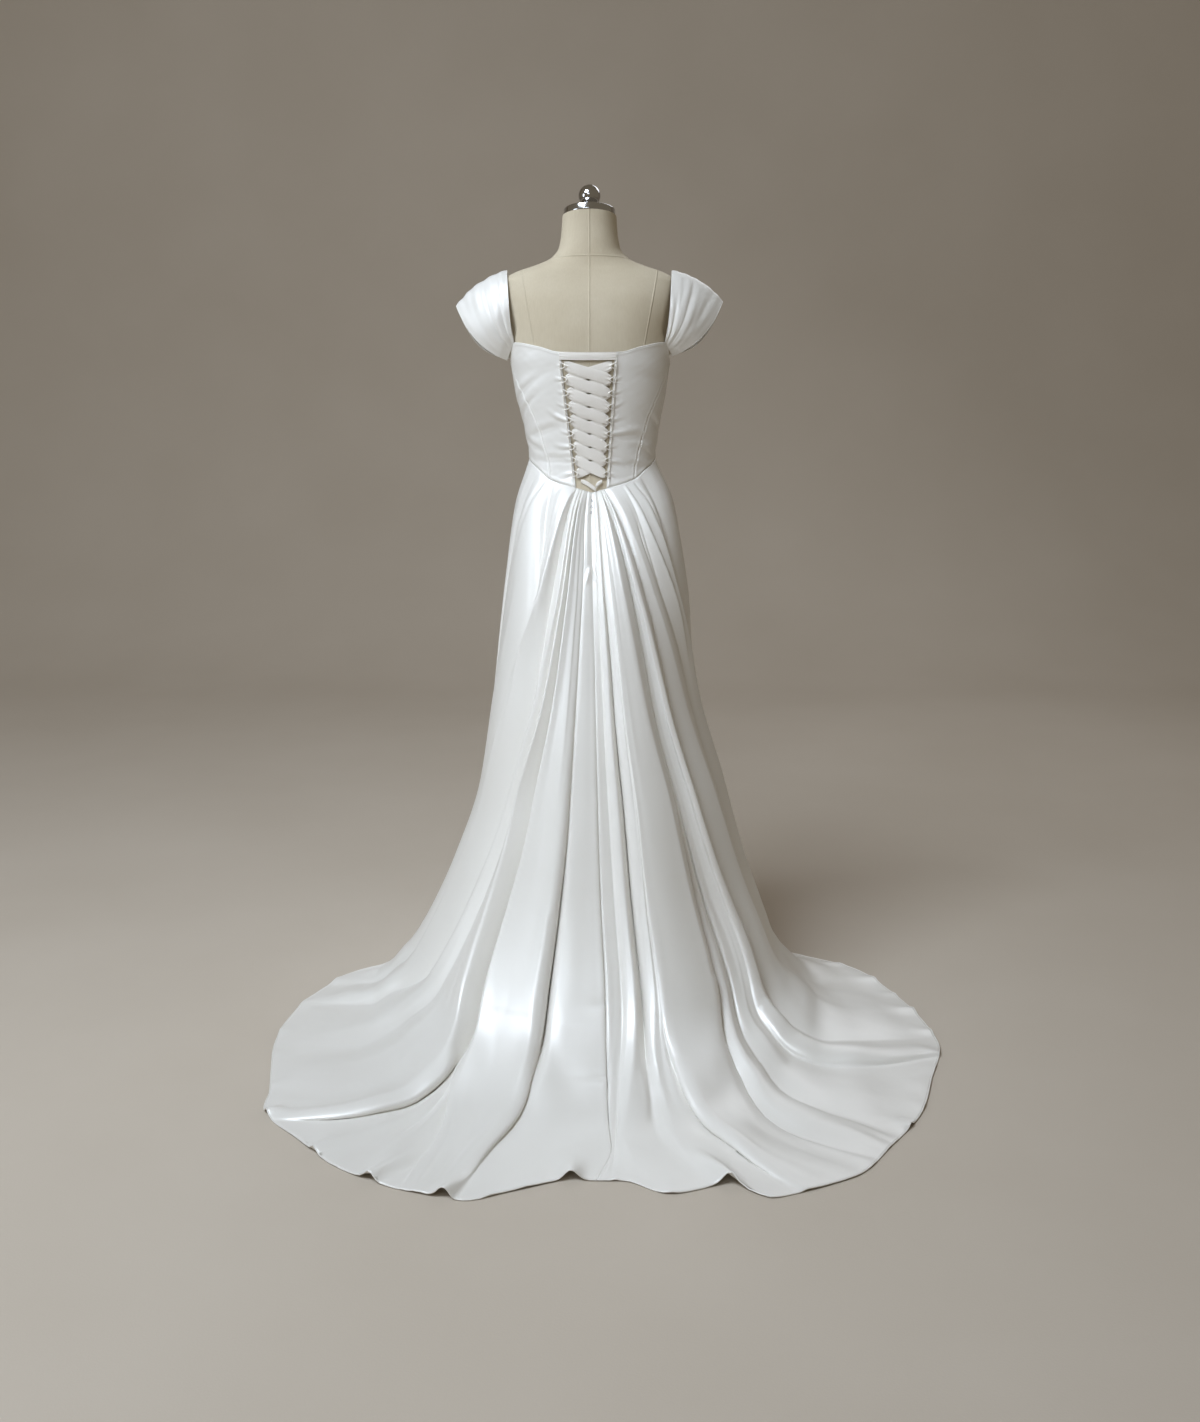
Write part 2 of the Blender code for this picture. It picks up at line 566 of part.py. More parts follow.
def build_hooks(looks, collection):
    # Three small hooks in a column on the closed seam just below the waist
    for index in range(3):
        station = station_at(1.0235 - 0.0105 * index)
        normal = base_normal(np.array(HOOK_ANGLE), np.array(station))
        place = base_point(HOOK_ANGLE, station) + normal * (SKIRT_WALL + HOOK_SIZE[1] / 2 - 0.0006)
        bpy.ops.mesh.primitive_cube_add(size=1.0)
        item = name_primitive("hook_%d" % (index + 1), place, looks["steel"], collection)
        item.data.transform(Matrix.Diagonal((*HOOK_SIZE, 1.0)))
        item.rotation_euler = (-math.asin(normal[2]), 0, 0)


def station_at(height):
    stations = np.linspace(0, 1.2, 200)
    heights = base_point(np.full(200, HOOK_ANGLE), stations)[:, 2]
    return float(stations[np.argmin(np.abs(heights - height))])


def base_point(angle, station):
    # Mean surface of the skirt, from the waist seam out to the hem: the corner where it meets the
    # floor is swept round by taking the mean of places above and below
    angle, station = np.broadcast_arrays(np.asarray(angle, float), np.asarray(station, float))
    reach = 1.1 * ease((station - 2.4) / 1.6) * (1 - ease((station - 4.0) / 2.0))
    total = np.zeros(station.shape + (3,))
    for part, weight in ((-1.0, 1), (-0.66, 2), (-0.33, 3), (0.0, 3), (0.33, 3), (0.66, 2), (1.0, 1)):
        total += weight / 15 * plain_point(angle, station + part * reach)
    return total


def plain_point(angle, station):
    # The skirt's rings joined up, with a corner where they meet the floor
    angle, station = np.broadcast_arrays(np.asarray(angle, float), np.asarray(station, float))
    turn = np.radians(angle)
    power = np.interp(station, (0, 1, 3, 4), (FORM_POWER, 2.0, 2.25, 2.2))
    side = signed_power(np.sin(turn), 2 / power)
    fore = signed_power(np.cos(turn), 2 / power)
    hang = np.minimum(station, FLOOR_STATION)
    left, right, back, front = (smooth(RINGS[:, 0], RINGS[:, k], hang) for k in range(2, 6))
    z = smooth(np.append(RINGS[:-1, 0], LANDING[:, 0]), np.append(RINGS[:-1, 1], LANDING[:, 1]), station)
    x = np.where(side < 0, left, right) * side
    y = -np.where(fore > 0, back, front) * fore
    at_waist = figure_point(angle, waist_height(angle), FIT_GAP)
    first_side = signed_power(np.sin(turn), 2 / FORM_POWER)
    first_fore = signed_power(np.cos(turn), 2 / FORM_POWER)
    nominal_x = np.where(side < 0, RINGS[0, 2], RINGS[0, 3]) * first_side
    nominal_y = -np.where(fore > 0, RINGS[0, 4], RINGS[0, 5]) * first_fore
    fade = np.clip(1 - station / 0.7, 0, 1) ** 2
    x = x + (at_waist[..., 0] - nominal_x) * fade
    y = y + (at_waist[..., 1] - nominal_y) * fade
    z = z + (at_waist[..., 2] - WAIST_GAP - RINGS[0, 1]) * fade
    spread = np.clip((station - FLOOR_STATION) / (HEM_STATION - FLOOR_STATION), 0, 1)
    wrapped = (angle + 180.0) % 360.0 - 180.0
    reach = smooth(HEM[:, 0], HEM[:, 1], wrapped)
    x = x * (1 - spread) + reach * np.sin(turn) * spread
    y = y * (1 - spread) - reach * np.cos(turn) * spread
    return np.stack([x, y, z], -1)


def base_normal(angle, station):
    low = np.clip(station - 0.02, 0, HEM_STATION)
    high = np.clip(station + 0.02, 0, HEM_STATION)
    down = base_point(angle, high) - base_point(angle, low)
    around = base_point(angle + 0.5, station) - base_point(angle - 0.5, station)
    normal = np.cross(down, around)
    return normal / np.linalg.norm(normal, axis=-1, keepdims=True)


def fold_tables(stations):
    # Angle and height of every fold line at the given stations, in order round the skirt
    angles, rises = [], []
    for row in FOLDS.values():
        angles.append(smooth((0, 1, 1.5, 2, 3, 4, 5, 6), row[:8], stations))
        rise = (0, row[8] * 0.45, row[8], row[9], row[10], row[11], row[12], row[13])
        rises.append(smooth((0, 0.35, 1, 2, 3, 4, 5, 6), rise, stations))
    for waist, floor, height in FRONT_FOLDS:
        angles.append(smooth((0, 1, 3, 6), (waist, waist * 0.7 + floor * 0.3, floor, floor), stations))
        rise = (0, height * 0.08, height * 0.3, height * 0.8, height, height, height)
        rises.append(smooth((0, 0.35, 1, 2, 3, 4, 6), rise, stations))
    return np.array(angles), np.array(rises) * 0.001


def skirt_surface(places, stations):
    # Skirt points: one column for each place in fold numbers, one row for each station
    angles, rises = fold_tables(stations)
    count = len(angles)
    order = np.arange(-3, count + 3)
    turns = np.repeat(np.floor_divide(order, count)[:, None] * 360.0, len(stations), axis=1)
    wrapped_angles = angles[order % count] + turns
    wrapped_rises = rises[order % count]
    columns = []
    for place in places:
        angle = np.array([column_value(order, wrapped_angles[:, k], place) for k in range(len(stations))])
        rise = np.array([column_value(order, wrapped_rises[:, k], place) for k in range(len(stations))])
        point = base_point(angle, stations) + base_normal(angle, stations) * rise[:, None]
        point[:, 2] = np.where(stations > 0.5, np.maximum(point[:, 2], 0.0), point[:, 2])
        columns.append(point)
    return np.array(columns)


def column_value(order, values, place):
    near = int(math.floor(place)) + 3
    window = slice(near - 2, near + 4)
    return float(smooth(order[window], values[window], place))


def even_rows(column, rows):
    # Points spread evenly down the cloth
    length = np.concatenate([[0], np.cumsum(np.linalg.norm(np.diff(column, axis=0), axis=1))])
    share = np.linspace(0, 1, rows)
    share = share + 0.10 * np.sin(2 * np.pi * share) / (2 * np.pi)
    return np.stack([np.interp(share * length[-1], length, column[:, k]) for k in range(3)], -1)


def skirt_panel(first, last):
    # Grid of a panel from one fold number to another, with finer columns where folds are wide
    stations = np.concatenate([np.linspace(0, 1, 16)[:-1], np.linspace(1, HEM_STATION, 76)])
    knee = fold_tables(np.array([2.2]))[0][:, 0]
    knee = np.append(knee, knee[0] + 360)
    places = [first]
    for number in range(first, last):
        index = number % (len(knee) - 1)
        wide = abs(knee[index + 1] - knee[index])
        parts = 3 if wide > 8.5 and index < len(FOLDS) else 2
        places += [number + (k + 1) / parts for k in range(parts)]
    surface = skirt_surface(places, stations)
    grid = np.array([even_rows(column, SKIRT_ROWS) for column in surface])
    for end, inner in ((0, 1), (-1, -2)):
        step = grid[inner] - grid[end]
        size = np.linalg.norm(step, axis=-1, keepdims=True)
        grid[end] += step * np.minimum(0.4, SEAM_GAP * 0.5 / size)
    return grid.transpose(1, 0, 2)


def build_skirt(looks, collection):
    names = list(FOLDS)
    centre = names.index("centre_seam")
    total = len(names) + len(FRONT_FOLDS)
    side_right = len(names) + 1
    side_left = total - 1
    panels = (
        ("skirt_back_left", side_left - total, centre),
        ("skirt_back_right", centre, side_right),
        ("skirt_front", side_right, side_left),
    )
    for name, first, last in panels:
        grid = skirt_panel(first, last)
        add_grid(name, grid[::-1], looks["satin"], collection, SKIRT_WALL, 1.0)


def main():
    clear_scene()
    collection = bpy.data.collections.new("wedding dress on a dress form")
    bpy.context.scene.collection.children.link(collection)
    looks = make_materials()
    build_form(looks, collection)
    build_bodice(looks, collection)
    build_sleeves(looks, collection)
    build_lacing(looks, collection)
    build_skirt(looks, collection)
    build_hooks(looks, collection)


main()
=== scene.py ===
import math

import bpy
import numpy as np
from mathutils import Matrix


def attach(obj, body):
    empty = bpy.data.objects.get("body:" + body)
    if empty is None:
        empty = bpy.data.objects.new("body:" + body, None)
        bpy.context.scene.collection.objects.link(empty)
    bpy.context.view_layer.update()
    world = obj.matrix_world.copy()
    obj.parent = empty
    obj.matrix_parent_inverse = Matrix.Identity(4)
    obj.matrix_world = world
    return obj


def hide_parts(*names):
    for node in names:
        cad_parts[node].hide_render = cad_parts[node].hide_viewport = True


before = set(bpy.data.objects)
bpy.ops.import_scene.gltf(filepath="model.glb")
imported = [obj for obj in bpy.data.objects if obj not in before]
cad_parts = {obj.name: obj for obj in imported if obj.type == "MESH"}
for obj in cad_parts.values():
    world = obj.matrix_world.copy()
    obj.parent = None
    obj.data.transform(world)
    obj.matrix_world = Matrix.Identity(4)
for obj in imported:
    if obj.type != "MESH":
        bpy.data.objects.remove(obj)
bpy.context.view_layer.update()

# Sizes, as in the CAD source
FIT_GAP = 0.0016
BODICE_WALL = 0.0015
SKIRT_WALL = 0.0012
SLEEVE_WALL = 0.0015
WAIST_GAP = 0.0009
FORM_POWER = 2.2
BUST_SWELL = 0.016
FORM_SWELL = 0.0125
BUST_HEIGHT = 1.262
BUST_ANGLE = 143.0
NECK_TOP = 1.548
NECK_TILT = math.radians(15.0)
CAP_RADIUS = 0.0490
CAP_HEIGHT = 0.0150
BALL_RADIUS = 0.0210
STEM_RADIUS = 0.0085
STEM_HEIGHT = 0.0060
KNOTS = 9
KNOT_TOP = 1.276
KNOT_PITCH = 0.0253
RIBBON_LOW = 0.0043
RIBBON_TOP = 0.0060
HOOK_ANGLE = 0.4
HOOK_TOP = 1.0235
HOOK_PITCH = 0.0105
HOOK_WIRE = 0.00042
FLOOR_STATION = 4.0
HEM_STATION = 6.0
SIDE_SEAM = 96.0
BAR_HEIGHT = 1.2945

# Sizes of the fine forms; the lacing's differ a little from its CAD sizes
RIBBON_WIDTH = 0.0215
RIBBON_PINCH = 0.0145
RIBBON_WALL = 0.0006
KNOT_INSET = 0.0050
BAR_WIDTH = 0.0135
BAR_WALL = 0.0008
LOOP_RADIUS = 0.0010
COLUMN_WIDTH = 0.0050
BOUND_EDGE = 0.0010
TOP_EDGE_ROLL = 0.0011
HEM_ROLL = 0.0012
SEAM_INSET = 0.00015
FLOOR_SKIM = 0.0003
NECK_FOOT = 1.462
NECK_Y = 0.012
PLATE_HEIGHT = 1.374
PLATE_TALL = 0.070
PLATE_DEEP = 0.060
PLATE_X = 0.1420
PLATE_LEAN = 0.22
BODY_RADIUS = 0.125
ZIP_TOP = 0.912
ZIP_FOOT = 0.872
ZIP_WAVE = 0.009
PUCKER_PITCH = 0.011
DRAG_GAIN = 1.65

# How much of each wall the outer cloth takes
BODICE_SHARE = 0.75
SLEEVE_SHARE = 0.7
SKIRT_SHARE = 0.8

# Points inside the body, sleeves and lacing, from which their outer faces look away
BODY_CENTRE = (0, 0, 1.18)
SLEEVE_CENTRE = (0, 0, 1.30)
LACING_CENTRE = (0, 0.3, 1.18)
SKIRT_CENTRE = (0, 0, -0.6)

# Dress form: height, half width, front depth, back depth, centre x, centre y
FIGURE = np.array((
    (0.790, 0.100, 0.070, 0.070, 0.000, -0.005),
    (0.830, 0.138, 0.096, 0.104, 0.001, -0.005),
    (0.880, 0.149, 0.101, 0.114, 0.002, -0.005),
    (0.950, 0.145, 0.096, 0.110, 0.004, -0.002),
    (1.020, 0.131, 0.088, 0.096, 0.005, 0.000),
    (1.090, 0.121, 0.083, 0.083, 0.005, 0.000),
    (1.150, 0.128, 0.095, 0.086, 0.004, 0.000),
    (1.220, 0.143, 0.112, 0.093, 0.002, 0.000),
    (1.280, 0.1515, 0.118, 0.096, 0.001, 0.000),
    (1.340, 0.160, 0.105, 0.094, 0.000, 0.000),
    (1.400, 0.171, 0.082, 0.082, 0.000, 0.000),
    (1.432, 0.166, 0.062, 0.066, 0.000, 0.000),
    (1.448, 0.140, 0.052, 0.058, 0.000, 0.000),
    (1.460, 0.104, 0.050, 0.054, 0.000, 0.002),
    (1.473, 0.074, 0.050, 0.052, 0.000, 0.004),
    (1.492, 0.0585, 0.050, 0.050, 0.000, 0.006),
    (1.525, 0.0530, 0.048, 0.048, 0.000, 0.010),
    (1.548, 0.0515, 0.049, 0.049, 0.000, 0.012),
))

# Waist seam: degrees from centre back, height
WAIST_SEAM = np.array((
    (0, 1.039), (10, 1.046), (38, 1.062), (60, 1.083), (90, 1.095), (130, 1.090), (180, 1.078),
))

# Bodice top edge: degrees from centre back, height
TOP_EDGE = np.array((
    (0, 1.300), (20, 1.301), (35, 1.310), (58, 1.317), (66, 1.317), (76, 1.292), (90, 1.277),
    (104, 1.277), (118, 1.300), (130, 1.346), (146, 1.354), (162, 1.343), (180, 1.322),
))

# Princess seams: height, degrees of the back one, degrees of the front one
PRINCESS = np.array((
    (1.030, 36, 152), (1.060, 38, 151), (1.130, 46, 149), (1.184, 53, 146),
    (1.220, 61, 143), (1.262, 76, 139), (1.290, 86, 134), (1.360, 100, 130),
))

# Lace-up opening: height, left edge x, right edge x
OPENING = np.array((
    (1.040, -0.0265, 0.0330), (1.120, -0.0345, 0.0375), (1.200, -0.0440, 0.0425), (1.310, -0.0560, 0.0500),
))

# Skirt rings: station, height, left half width, right half width, back depth, front depth
RINGS = np.array((
    (0.00, 1.065, 0.121, 0.131, 0.086, 0.084),
    (0.35, 1.000, 0.147, 0.166, 0.124, 0.108),
    (1.00, 0.850, 0.167, 0.190, 0.198, 0.140),
    (1.50, 0.650, 0.188, 0.210, 0.258, 0.186),
    (2.00, 0.450, 0.213, 0.264, 0.315, 0.240),
    (2.50, 0.280, 0.268, 0.311, 0.368, 0.293),
    (3.00, 0.150, 0.325, 0.358, 0.435, 0.338),
    (3.50, 0.055, 0.375, 0.392, 0.515, 0.370),
    (4.00, 0.010, 0.408, 0.410, 0.600, 0.384),
))

# Where the skirt eases onto the floor: station, height
LANDING = np.array(((4.0, 0.0150), (4.4, 0.0050), (5.0, 0.0012), (6.0, 0.0000)))

# Hem on the floor: degrees from centre back, distance from the post's axis
HEM = np.array((
    (-180, 0.388), (-135, 0.392), (-114, 0.402), (-105, 0.416), (-97, 0.455), (-90, 0.520),
    (-82, 0.568), (-75, 0.612), (-62, 0.690), (-54, 0.735), (-48, 0.780), (-44, 0.826),
    (-36, 0.850), (-28, 0.885), (-20, 0.902), (-13, 0.905), (-8, 0.862), (-2, 0.822),
    (4, 0.826), (9, 0.874), (15, 0.862), (19, 0.925), (28, 0.922), (36, 0.878), (44, 0.842),
    (54, 0.785), (63, 0.755), (70, 0.710), (77, 0.662), (84, 0.622), (93, 0.572), (100, 0.502),
    (107, 0.447), (114, 0.415), (135, 0.394), (180, 0.388),
))

# Folds, in order round the skirt. Degrees from centre back at the waist, hip, thigh, knee, shin,
# floor, middle of the train and hem. Then millimetres above (ridge) or below (dip) the skirt's mean
# surface at the hip, knee, shin, floor, middle of the train and hem. Then how sharp the fold line is,
# from 0 round to 1 creased, and for a dip how far in millimetres the cloth beside it hangs over it
# (positive: the fold on its left, negative: the one on its right)
FOLDS = {
    "side_left_dip": (-56, -80, -88, -92, -96, -98, -97, -97, -4, -10, -12, 2, 0, 0, 0.6, 0),
    "side_left_ridge": (-46, -58, -72, -83, -89, -91, -91, -90, 5, 10, 12, 14, 10, 2, 0.0, 0),
    "pleat_left_dip": (-34, -36.5, -56, -73, -82, -86, -86, -84, -9, -14, -14, 2, 0, 0, 0.9, 6),
    "a_ridge": (-13, -32.5, -52, -66, -75, -79, -80, -78, 10, 17, 17, 18, 13, 2, 0.2, 0),
    "a_b_dip": (-11.5, -26, -36, -48, -63, -74.5, -76, -75, -6, -16, -18, 0, 0, 0, 0.7, 0),
    "b_ridge": (-9.6, -20, -31, -44, -57, -65, -66.5, -66, 6, 12, 12, 10, 6, 1, 0.1, 0),
    "b_dip": (-8.6, -18.5, -28, -40, -51, -58, -59, -57, 0, 2, 2, 1, 0, 0, 0.5, 0),
    "b_soft_ridge": (-8.3, -18, -27, -38.8, -47, -50.5, -50, -51, 2, 8, 11, 15, 12, 2, 0.0, 0),
    "l1_dip": (-8.0, -17.6, -26, -37.6, -43.5, -42.5, -41, -46, 3, 14, 19, 17, 10, 2, 0.2, 0),
    "b_floor_ridge": (-7.6, -17, -25, -36, -39, -35, -36.9, -43, 6, 20, 28, 29, 22, 4, 0.2, 0),
    "left_valley": (-6.6, -15, -21, -29, -35, -32.2, -34.8, -41, -14, -30, -34, 0, 0, 0, 0.9, -14),
    "f1_ridge": (-6.4, -14.6, -20.6, -28.4, -34.2, -31.4, -31.2, -32.3, -8, -20, -22, 3, 9, 3, 0.1, 0),
    "f1_dip": (-6.2, -14.3, -20.2, -27.9, -33.5, -30.8, -28.6, -28.2, -3, -8, -8, 1, 0, 0, 0.4, 0),
    "f2_ridge": (-6.0, -14, -19.8, -27.4, -32.9, -30.2, -26.2, -23.6, 2, 4, 6, 3, 9, 4, 0.1, 0),
    "f2_dip": (-5.8, -13.6, -19.3, -26.8, -32.2, -29.6, -22.4, -20, 6, 13, 15, 1, 0, 0, 0.7, 0),
    "c_ridge": (-5.4, -13, -18.5, -26, -31, -28.4, -20.9, -18.4, 10, 20, 22, 16, 10, 1, 0.2, 0),
    "c_soft_dip": (-4.4, -10.5, -15, -20, -23.5, -21.5, -18.2, -17, 6, 14, 15, 9, 6, 1, 0.0, 0),
    "c_edge_ridge": (-3.3, -7.8, -10.8, -13, -14.6, -14.4, -16, -15.4, 3, 12, 16, 15, 14, 4, 0.2, 0),
    "c_d_dip": (-3, -7, -9.5, -11, -12, -12.2, -13.8, -13.2, -10, -20, -22, 0, 0, 0, 0.9, 9),
    "d_ridge": (-1.5, -4, -6.5, -8, -8.6, -7.5, -6.5, -4, 0, 1, 2, 4, 4, 3, 0.0, 0),
    "centre_seam": (0, 2, 3, 3, 3.6, 3.4, 3.3, 1, -3, -5, -4, 1, 2, 1, 0.3, 0),
    "r0_dip": (1.2, 5, 7, 7.5, 8, 5.6, 4.0, 2.4, -3, -8, -8, 0, 0, 0, 0.9, -3),
    "r0_ridge": (2.2, 7.5, 10, 11, 11.2, 8.2, 5.3, 6, 4, 5, 7, 8, 7, 1, 0.2, 0),
    "r1_dip": (3.3, 10, 13, 14, 14, 12.2, 11.0, 12.4, -8, -15, -17, 0, 0, 0, 0.8, -6),
    "r1_arch": (3.9, 12, 15.5, 16.5, 16.2, 15.0, 14.4, 15.7, 6, 13, 15, 8, 8, 4, 0.1, 0),
    "r1_low_dip": (4.15, 13, 16.6, 17.8, 17.8, 19.0, 20.4, 21.2, 7, 15, 17, 6, 0, 0, 0.8, -5),
    "r1_ridge": (4.4, 14, 18, 20, 20.5, 21.0, 22.2, 24, 8, 18, 20, 22, 17, 2, 0.1, 0),
    "r2_edge": (5.6, 19, 27, 32, 35, 31.6, 27.5, 29.5, 10, 20, 20, 16, 6, 1, 0.3, 0),
    "r2_dip": (6.4, 22, 30, 35.5, 37.5, 32.8, 29.8, 33, -12, -24, -24, 0, 0, 0, 0.8, 12),
    "r2_floor_ridge": (7.0, 25, 34, 40, 42, 36.6, 34.8, 35.5, -4, -7, 4, 20, 16, 2, 0.2, 0),
    "r3_dip": (7.5, 27.5, 37, 43, 46.5, 41.0, 38.0, 38.2, -8, -16, -10, 1, 0, 0, 0.9, -6),
    "r3_mid_ridge": (7.7, 28, 38, 44, 49.5, 46, 45, 46, -2, -4, 2, 12, 10, 2, 0.1, 0),
    "r3_low_dip": (7.85, 28.5, 39, 45, 52, 50.2, 53, 59.6, 4, 8, 12, 4, 0, 0, 0.8, -6),
    "r3_ridge": (8.0, 29, 40, 46, 55, 54.5, 57.2, 62, 9, 19, 22, 27, 22, 3, 0.2, 0),
    "r3_r4_dip": (9, 31.5, 45, 51, 61, 60, 63, 66, -12, -22, -22, 0, 0, 0, 0.9, 9),
    "r4_ridge": (14, 40, 57, 64, 72, 74, 73, 74.5, 2, 9, 13, 22, 16, 2, 0.2, 0),
    "r4_dip": (24, 47, 70, 76, 82, 86, 86.5, 87, -3, -10, -10, 0, 0, 0, 0.6, 4),
    "pleat_right_ridge": (38, 60, 79, 87, 92, 98, 97, 97, 7, 8, 8, 10, 8, 1, 0.3, 0),
    "pleat_right_dip": (46, 68, 88, 96, 100, 104, 104, 104, -8, -7, -7, 0, 0, 0, 0.8, -4),
    "side_right_ridge": (62, 84, 100, 104, 107, 110, 110, 110, 3, 6, 8, 6, 4, 1, 0.0, 0),
}

# Sideways overhang of a fold on the floor in millimetres, where it differs from the hanging one
FLOOR_LEAN = {
    "left_valley": 16, "f2_dip": -12, "c_d_dip": 12, "r0_dip": -5, "r1_dip": 7, "r1_low_dip": -14,
    "r2_dip": 12, "r3_dip": 9, "r3_low_dip": -14, "r3_r4_dip": -8, "a_b_dip": 6, "pleat_left_dip": 5,
}

# Short raised places of the hem: degrees from centre back, then half width, height and reach
# inwards in millimetres
HEM_CURLS = (
    (-87, 14, 4, 60), (-76, 20, 5, 70), (-66, 11, 3, 40), (-58, 13, 4, 50), (-49.5, 9, 2, 40),
    (-43.2, 8, 11, 45), (-32.2, 11, 12, 110), (-28.4, 8, 2, 40), (-23.4, 13, 16, 150), (-17.6, 10, 2, 40),
    (-14.9, 11, 17, 80), (-10.2, 12, 4, 60), (-6.6, 10, 2, 50), (-1.9, 15, 18, 80), (3.2, 9, 3, 50),
    (8.6, 13, 5, 70), (15.6, 16, 20, 120), (23.0, 16, 3, 50), (31.0, 16, 2, 50), (40.8, 8, 9, 45),
    (46.0, 9, 3, 40), (51.0, 10, 5, 60), (56.5, 9, 3, 40), (61.0, 10, 5, 60), (68.0, 12, 4, 50),
    (74.5, 14, 7, 70), (81.0, 11, 4, 50), (88.0, 14, 6, 60), (96.0, 12, 4, 50),
)

# Front folds: degrees from centre back at the waist, degrees at the floor, height in millimetres
FRONT_FOLDS = (
    (80, 119, -7), (96, 128, 9), (112, 137, -9), (128, 146, 12), (144, 156, -10), (160, 166, 9),
    (176, 177, -8), (192, 189, 11), (208, 200, -9), (224, 212, 10), (240, 222, -11), (256, 232, 12),
    (272, 242, -8), (288, 252, 8),
)

# Cap sleeve, left one: fraction from back to front, inner edge x y z, outer edge x y z, puff
SLEEVE = np.array((
    (0.00, -0.144, -0.048, 1.3195, -0.1585, -0.022, 1.2845, 0.000),
    (0.12, -0.149, -0.054, 1.3420, -0.1750, -0.034, 1.2925, 0.006),
    (0.25, -0.152, -0.055, 1.3740, -0.2025, -0.037, 1.3105, 0.011),
    (0.38, -0.155, -0.041, 1.4200, -0.2345, -0.027, 1.3460, 0.013),
    (0.50, -0.158, -0.002, 1.4500, -0.2550, 0.000, 1.3850, 0.010),
    (0.62, -0.155, 0.040, 1.4240, -0.2400, 0.030, 1.3450, 0.013),
    (0.75, -0.148, 0.060, 1.3960, -0.2120, 0.046, 1.3060, 0.011),
    (0.88, -0.138, 0.071, 1.3700, -0.1820, 0.050, 1.2900, 0.006),
    (1.00, -0.129, 0.076, 1.3500, -0.1560, 0.048, 1.2850, 0.000),
))


# Numbers and curves
def hermite(t, first, last, start, end):
    a = (2 * t ** 3 - 3 * t ** 2 + 1) * first + (t ** 3 - 2 * t ** 2 + t) * start
    return a + (3 * t ** 2 - 2 * t ** 3) * last + (t ** 3 - t ** 2) * end


def slopes(xs, ys):
    # Slopes of a smooth curve through table values that never overshoots them
    step = np.diff(xs)
    rise = np.diff(ys) / step
    slope = np.zeros_like(ys)
    before, after = rise[:-1], rise[1:]
    w1 = 2 * step[1:] + step[:-1]
    w2 = step[1:] + 2 * step[:-1]
    same_way = before * after > 0
    inner = (w1 + w2) / (w1 / np.where(same_way, before, 1) + w2 / np.where(same_way, after, 1))
    slope[1:-1] = np.where(same_way, inner, 0)
    slope[0], slope[-1] = rise[0], rise[-1]
    return slope


def smooth(xs, ys, x):
    xs, ys, x = np.asarray(xs, float), np.asarray(ys, float), np.asarray(x, float)
    slope = slopes(xs, ys)
    i = np.clip(np.searchsorted(xs, x, side="right") - 1, 0, len(xs) - 2)
    step = xs[i + 1] - xs[i]
    t = np.clip((x - xs[i]) / step, 0, 1)
    return hermite(t, ys[i], ys[i + 1], step * slope[i], step * slope[i + 1])


def read(table, column, x):
    # Smooth value of one column of a table whose first column is x
    return smooth(table[:, 0], table[:, column], x)


def unit(vectors):
    return vectors / np.linalg.norm(vectors, axis=-1, keepdims=True)


def bell(x, middle, width):
    return np.exp(-((x - middle) / width) ** 2)


def signed_power(value, power):
    return np.sign(value) * np.abs(value) ** power


def ease(t):
    t = np.clip(t, 0, 1)
    return t * t * (3 - 2 * t)


def wrap(angle):
    return (np.asarray(angle, float) + 180.0) % 360.0 - 180.0


def ripple(u, v, scale_u, scale_v, seed):
    # Soft uneven waves over a surface, about 1 high, always the same
    count = 14
    rng = np.random.default_rng(seed)
    total = np.zeros(np.broadcast(u, v).shape)
    for _ in range(count):
        fu = rng.uniform(0.35, 1.3) / scale_u * rng.choice((-1, 1))
        fv = rng.uniform(0.35, 1.3) / scale_v
        total += np.sin(2 * np.pi * (fu * u + fv * v + rng.uniform()))
    return total / math.sqrt(count / 2)


# The figure, the bodice and the skirt
def figure_point(angle, height, out=0.0, bust=BUST_SWELL):
    angle = np.asarray(angle, float)
    height = np.asarray(height, float)
    width, front, back, centre_x, centre_y = (read(FIGURE, k, height) for k in range(1, 6))
    turn = np.radians(angle)
    depth = np.where(np.cos(turn) > 0, back, front) + out
    swell = bust * bell(np.abs(wrap(angle)), BUST_ANGLE, 24.0)
    swell = 1 + swell * bell(height, BUST_HEIGHT, 0.055) / 0.12
    x = centre_x + (width + out) * signed_power(np.sin(turn), 2 / FORM_POWER) * swell
    y = centre_y - depth * signed_power(np.cos(turn), 2 / FORM_POWER) * swell
    return np.stack(np.broadcast_arrays(x, y, height), -1)


def angle_at(x, height, out):
    width = read(FIGURE, 1, height) + out
    centre_x = read(FIGURE, 4, height)
    return np.degrees(np.arcsin(np.clip(signed_power((x - centre_x) / width, FORM_POWER / 2), -1, 1)))


def back_point(x, height, out):
    return figure_point(angle_at(x, height, out), height, out)


def waist_height(angle):
    return read(WAIST_SEAM, 1, np.abs(wrap(angle)))


def top_height(angle):
    return read(TOP_EDGE, 1, np.abs(wrap(angle)))


def back_princess(height):
    return read(PRINCESS, 1, height)


def front_princess(height):
    return read(PRINCESS, 2, height)


def opening_x(height, right):
    return read(OPENING, 2 if right else 1, height)


def opening_left(height):
    return angle_at(opening_x(height, False), height, FIT_GAP)


def opening_right(height):
    return angle_at(opening_x(height, True), height, FIT_GAP)


